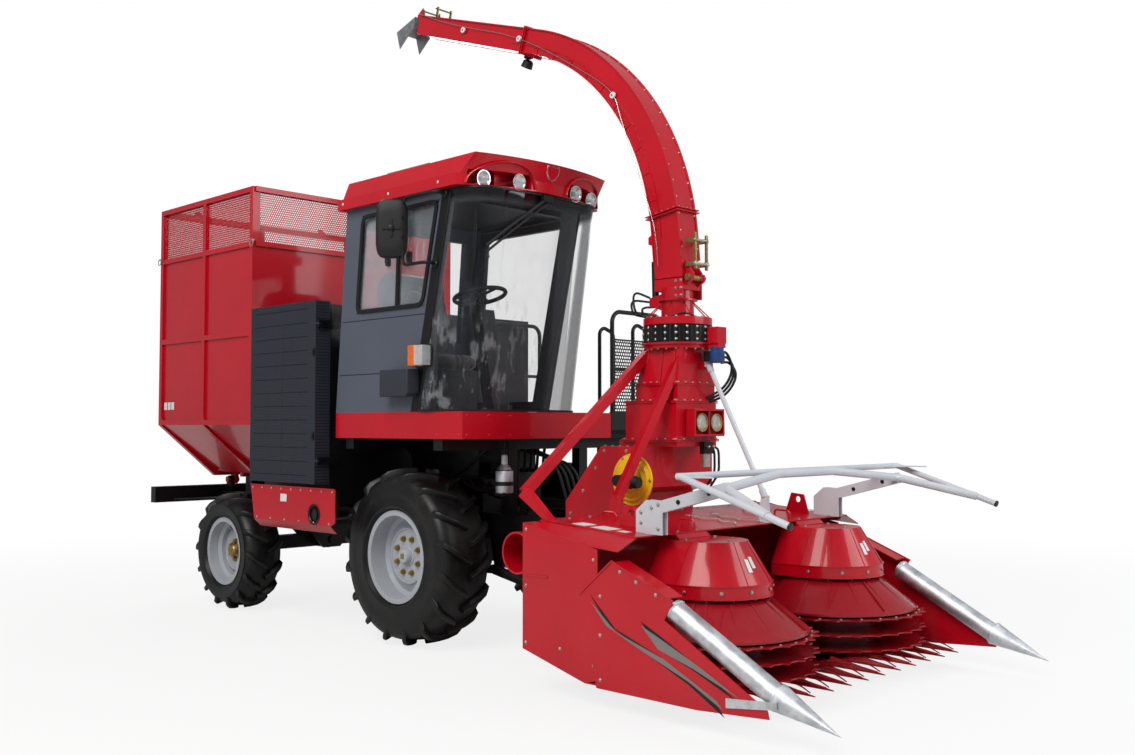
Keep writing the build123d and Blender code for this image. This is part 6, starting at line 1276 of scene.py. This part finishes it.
class HARVESTER_OT_undercarriage(bpy.types.Operator):
    """Pressure bottle, bulkheads, valve block and hoses under the cab"""
    bl_idname = "harvester.undercarriage"
    bl_label = "Under the cab"

    def execute(self, context):
        shape = Shape()
        bottle, up = (700, -560, 0), (0, 0, 1)
        shape.lathe([(0, 1128), (60, 1128), (64, 1134), (64, 1284), (50, 1304), (24, 1332), (22, 1398), (14, 1404),
                     (0, 1404)], bottle, up, 40)
        shape.lathe([(62, 1180), (67, 1180), (67, 1210), (62, 1210)], bottle, up, 40, 1)
        for n in range(5):
            x, y = 640 - 30 * n, -500 + 60 * n
            shape.pipe([(x, y, 1500), (x, y, 1180 - 30 * n), (300, y + 30, 1120 - 20 * n), (160, y + 20, 1190)],
                       70, 6, 11, mark=1)
        shape.pipe([(-560, -470, 1440), (-400, -470, 1300), (60, -470, 1220), (420, -470, 1440)], 120, 7, 16, 12, 1)
        shape.slab([(-300, 1202), (300, 1202), (300, 1430), (220, 1512), (-300, 1512)], 0, 120, 128, 2)
        shape.block((-380, -372), (-560, -100), (1202, 1512), 2)
        shape.block((190, 330), (-240, 60), (1210, 1330), 2)
        for n in range(6):
            y = -230 + 52 * n
            shape.lathe([(0, 0), (17, 0), (17, 22), (11, 30), (0, 30)], (330, y, 1270), (1, 0, 0), 6)
            shape.pipe([(356, y, 1270), (420 + 14 * n, y, 1262), (470 + 12 * n, y - 30, 1400),
                        (440 + 30 * n, y - 60, 1510)], 60, 6, 12, mark=1)
        for n in range(4):
            shape.pipe([(132, -200 + 90 * n, 1480), (260, -210 + 90 * n, 1470 - 20 * n),
                        (600, -160 + 60 * n, 1440 - 24 * n), (780, -100 + 60 * n, 1300), (860, -60 + 60 * n, 1000)],
                       90, 7, 13, mark=1)
        shape.make("under_cab_pipes", "chassis", ["nose_silver", "black_plastic", "frame_black"], "black_paint",
                   angle=40)
        return {"FINISHED"}


class HARVESTER_OT_pusher(bpy.types.Operator):
    """Bolts, clamp pins and end caps of the crop pusher, and the sleeves on its stay"""
    bl_idname = "harvester.pusher"
    bl_label = "Crop pusher"

    def execute(self, context):
        shape = Shape()
        plate = ((2360, 1040), (2360, 1100), (2440, 1130), (2490, 1010), (2490, 1150))
        for s in (-1, 1):
            shape.repeat(hex_head(9, 8), [(x, s * 986, z) for x, z in plate], (0, s, 0), 1)
            for x, z in ((2640, 1172), (2860, 1230)):
                shape.pin((x, s * 960, z), (0, 1, 0), 13, -32, 32, 14, 2)
            shape.lathe([(0, -4), (20, -4), (22, 0), (20, 8), (0, 10)], (3530, s * 1200, 1100), (0.95, 0, -0.31),
                        24, 2)
        stay, foot = np.array([2060.0, 60, 2025]), np.array([2425.0, 190, 1130])
        for share in (0.03, 0.96):
            shape.pin(stay + (foot - stay) * share, foot - stay, 22, -26, 26, 20)
        shape.make("pusher_fittings", "header", ["tube_grey", "zinc", "frame_black"], "pale_grey", bevel=1)
        return {"FINISHED"}


class HARVESTER_OT_platform(bpy.types.Operator):
    """Tread marks of the deck and ladder, and the perforated guard plate on the left"""
    bl_idname = "harvester.platform"
    bl_label = "Platform"

    def execute(self, context):
        shape, mark = Shape(), Shape()
        mark.block((-9, 9), (-2.5, 2.5), (-1, 3))
        spots = [(x, y, 1601) for x in np.arange(-600, 840, 60) for y in np.arange(440, 1080, 60)]
        spots += [(x, y, z) for x in np.arange(100, 480, 46) for y in (1110, 1150, 1190, 1230, 1265)
                  for z in (610, 910, 1210, 1480)]
        shape.repeat(mark, spots)
        shape.make("tread_marks", "chassis", "galvanised", "steel")

        plate = Shape()
        plate.block((816, 819), (470, 1010), (1720, 2280))
        for z in (1712, 2276):
            plate.block((812, 823), (462, 1018), (z, z + 12), 1)
        plate.make("guard_plate", "chassis", ["mesh_plate", "frame_black"], "black_paint")
        return {"FINISHED"}


class HARVESTER_OT_seat(bpy.types.Operator):
    """Stuffed seat and back cushions, pressed out by a cloth simulation"""
    bl_idname = "harvester.seat"
    bl_label = "Seat cushions"

    def execute(self, context):
        for name, corners in (("seat_squab", ((-330, -678, 2044), (112, -212, 2150))),
                              ("seat_back", ((-392, -672, 2166), (-236, -218, 2710)))):
            low, high = (np.array(c, float) for c in corners)
            # A blunt ball: (cos v cos u, cos v sin u, sin v) with blunt cosines and sines, scaled into the box
            u, v = np.meshgrid(full_turn(44), np.linspace(-math.pi / 2, math.pi / 2, 23), indexing="ij")
            (cu, su), (cv, sv) = blunt(u, 0.42), blunt(v, 0.42)
            spots = np.stack([cv * cu, cv * su, sv], -1) * (high - low) / 2 * 0.9 + (high + low) / 2
            if name == "seat_back":
                spots[..., 0] = spots[..., 0] * 0.62 - 110 - (spots[..., 2] - low[2]) * 0.135
            shape = Shape()
            shape.grid(spots, wrap_u=True)
            piece = shape.make(name, "chassis", "seat_weave", "seat_cloth", ["seat_cushions"])
            remesh = piece.modifiers.new("even", "REMESH")
            remesh.mode, remesh.voxel_size = "VOXEL", 0.006
            cloth = piece.modifiers.new("stuffing", "CLOTH")
            cloth.settings.use_pressure, cloth.settings.uniform_pressure_force = True, 4.0
            cloth.settings.effector_weights.gravity = 0.0
            for n in range(1, 21):
                context.scene.frame_set(n)
            mesh = bpy.data.meshes.new_from_object(piece.evaluated_get(context.evaluated_depsgraph_get()))
            piece.modifiers.clear()
            p = np.zeros(len(mesh.vertices) * 3)
            mesh.vertices.foreach_get("co", p)
            p = np.clip(p.reshape(-1, 3), metres(low) - 0.004, metres(high) + 0.004)
            mesh.vertices.foreach_set("co", p.ravel())
            piece.data = mesh
            mesh.shade_smooth()
            context.scene.frame_set(1)
            soft = piece.modifiers.new("soft", "SUBSURF")
            soft.levels = soft.render_levels = 1
        return {"FINISHED"}


def stand(name, data, spot, toward):
    """Puts a lamp or camera at a spot, looking along a direction."""
    holder = bpy.data.objects.new(name, data)
    holder.location, holder.rotation_mode = spot, "QUATERNION"
    holder.rotation_quaternion = toward.to_track_quat("-Z", "Y")
    bpy.context.scene.collection.objects.link(holder)
    return holder


class HARVESTER_OT_stage(bpy.types.Operator):
    """Pale floor, white surroundings, soft lamps and the camera"""
    bl_idname = "harvester.stage"
    bl_label = "Stage"

    def execute(self, context):
        scene = context.scene
        mesh = bpy.data.meshes.new("floor")
        corners = [(x, y, -0.001) for x, y in ((-60, -60), (60, -60), (60, 60), (-60, 60))]
        mesh.from_pydata(corners, [], [(0, 1, 2, 3)])
        floor = bpy.data.objects.new("floor", mesh)
        scene.collection.objects.link(floor)
        # The camera sees a white glow that fades the floor into the surroundings
        f = Finish("pale_floor", Roughness=0.9)
        f.set(Base_Color=f.mix(f.noise(0.5, 3.0) * 0.4, linear("d4d4d3"), linear("cdcdcc")))
        seen = f.node("ShaderNodeLightPath")["Is Camera Ray"]
        glow = f.node("ShaderNodeEmission", {}, {"Color": (1, 1, 1, 1), "Strength": 1.0})[0]
        far = (f.x * f.x + f.y * f.y).root().fade(3.0, 11.0)
        both = f.node("ShaderNodeMixShader", {}, {0: seen * (far * 0.18 + 0.82), 1: f.surface[0], 2: glow})[0]
        f.feed(f.output.inputs["Surface"], both)
        mesh.materials.append(f.material)

        scene.world = bpy.data.worlds.new("white_room")
        room = Nodes(scene.world)
        path = room.node("ShaderNodeLightPath")
        light = room.node("ShaderNodeBackground", {}, {0: (0.95, 0.97, 1.0, 1), 1: 0.38})[0]
        white = room.node("ShaderNodeBackground", {}, {0: (1, 1, 1, 1), 1: 1.0})[0]
        seen = path["Is Camera Ray"].most(path["Is Transmission Ray"])
        both = room.node("ShaderNodeMixShader", {}, {0: seen, 1: light, 2: white})[0]
        room.node("ShaderNodeOutputWorld", {}, {0: both})

        for name, spot, aim, size, share, tint in (
                ("key", (3.0, -9.0, 9.5), (0.5, 0, 1.6), 7.0, 1.0, (1, 0.98, 0.95)),
                ("fill", (10.0, 4.0, 6.0), (1.0, 0, 1.4), 6.0, 0.45, (0.95, 0.97, 1)),
                ("back", (-9.0, 5.0, 8.0), (-1.0, 0, 1.6), 6.0, 0.4, (1, 1, 1))):
            lamp = bpy.data.lights.new(name, "AREA")
            lamp.energy, lamp.size, lamp.color = scene.harvester_sizes.key_power * share, size, tint
            stand(name, lamp, spot, Vector(aim) - Vector(spot))

        eye = bpy.data.cameras.new("camera")
        eye.lens, eye.sensor_width, eye.clip_end = CAMERA_LENS, 36.0, 200.0
        azimuth, elevation = math.radians(CAMERA_AZIMUTH), math.radians(CAMERA_ELEVATION)
        toward = Vector((-math.sin(azimuth) * math.cos(elevation), math.cos(azimuth) * math.cos(elevation),
                         -math.sin(elevation)))
        camera = stand("camera", eye, CAMERA_AT, toward)
        scene.camera = camera
        scene.view_settings.view_transform = "Standard"
        return {"FINISHED"}


STEPS = (
    HARVESTER_OT_stage, HARVESTER_OT_finishes, HARVESTER_OT_tyres, HARVESTER_OT_wheel_fittings, HARVESTER_OT_cab,
    HARVESTER_OT_wiper, HARVESTER_OT_cab_panels, HARVESTER_OT_mirror, HARVESTER_OT_roof, HARVESTER_OT_side,
    HARVESTER_OT_spout, HARVESTER_OT_flap_cable, HARVESTER_OT_tower, HARVESTER_OT_tower_lamps, HARVESTER_OT_slewing,
    HARVESTER_OT_spout_neck, HARVESTER_OT_drive_guard, HARVESTER_OT_deck, HARVESTER_OT_covers, HARVESTER_OT_tines,
    HARVESTER_OT_dividers, HARVESTER_OT_drums, HARVESTER_OT_tank, HARVESTER_OT_undercarriage, HARVESTER_OT_pusher,
    HARVESTER_OT_platform, HARVESTER_OT_seat,
)


class HARVESTER_PT_panel(bpy.types.Panel):
    """Lists the steps in the sidebar"""
    bl_label = "Forage harvester"
    bl_idname = "HARVESTER_PT_panel"
    bl_space_type = "VIEW_3D"
    bl_region_type = "UI"
    bl_category = "Harvester"

    def draw(self, context):
        for group in (context.scene.harvester_finishes, context.scene.harvester_sizes):
            for key in group.bl_rna.properties.keys():
                if key not in ("rna_type", "name"):
                    self.layout.prop(group, key)
        for step in STEPS:
            self.layout.operator(step.bl_idname)


CLASSES = (HarvesterFinishes, HarvesterSizes, *STEPS, HARVESTER_PT_panel)


def register():
    for group in CLASSES:
        bpy.utils.register_class(group)
    bpy.types.Scene.harvester_finishes = bpy.props.PointerProperty(type=HarvesterFinishes)
    bpy.types.Scene.harvester_sizes = bpy.props.PointerProperty(type=HarvesterSizes)


def unregister():
    del bpy.types.Scene.harvester_sizes, bpy.types.Scene.harvester_finishes
    for group in reversed(CLASSES):
        bpy.utils.unregister_class(group)


def main():
    register()
    for step in STEPS:
        group, name = step.bl_idname.split(".")
        getattr(getattr(bpy.ops, group), name)()


if __name__ == "__main__":
    main()
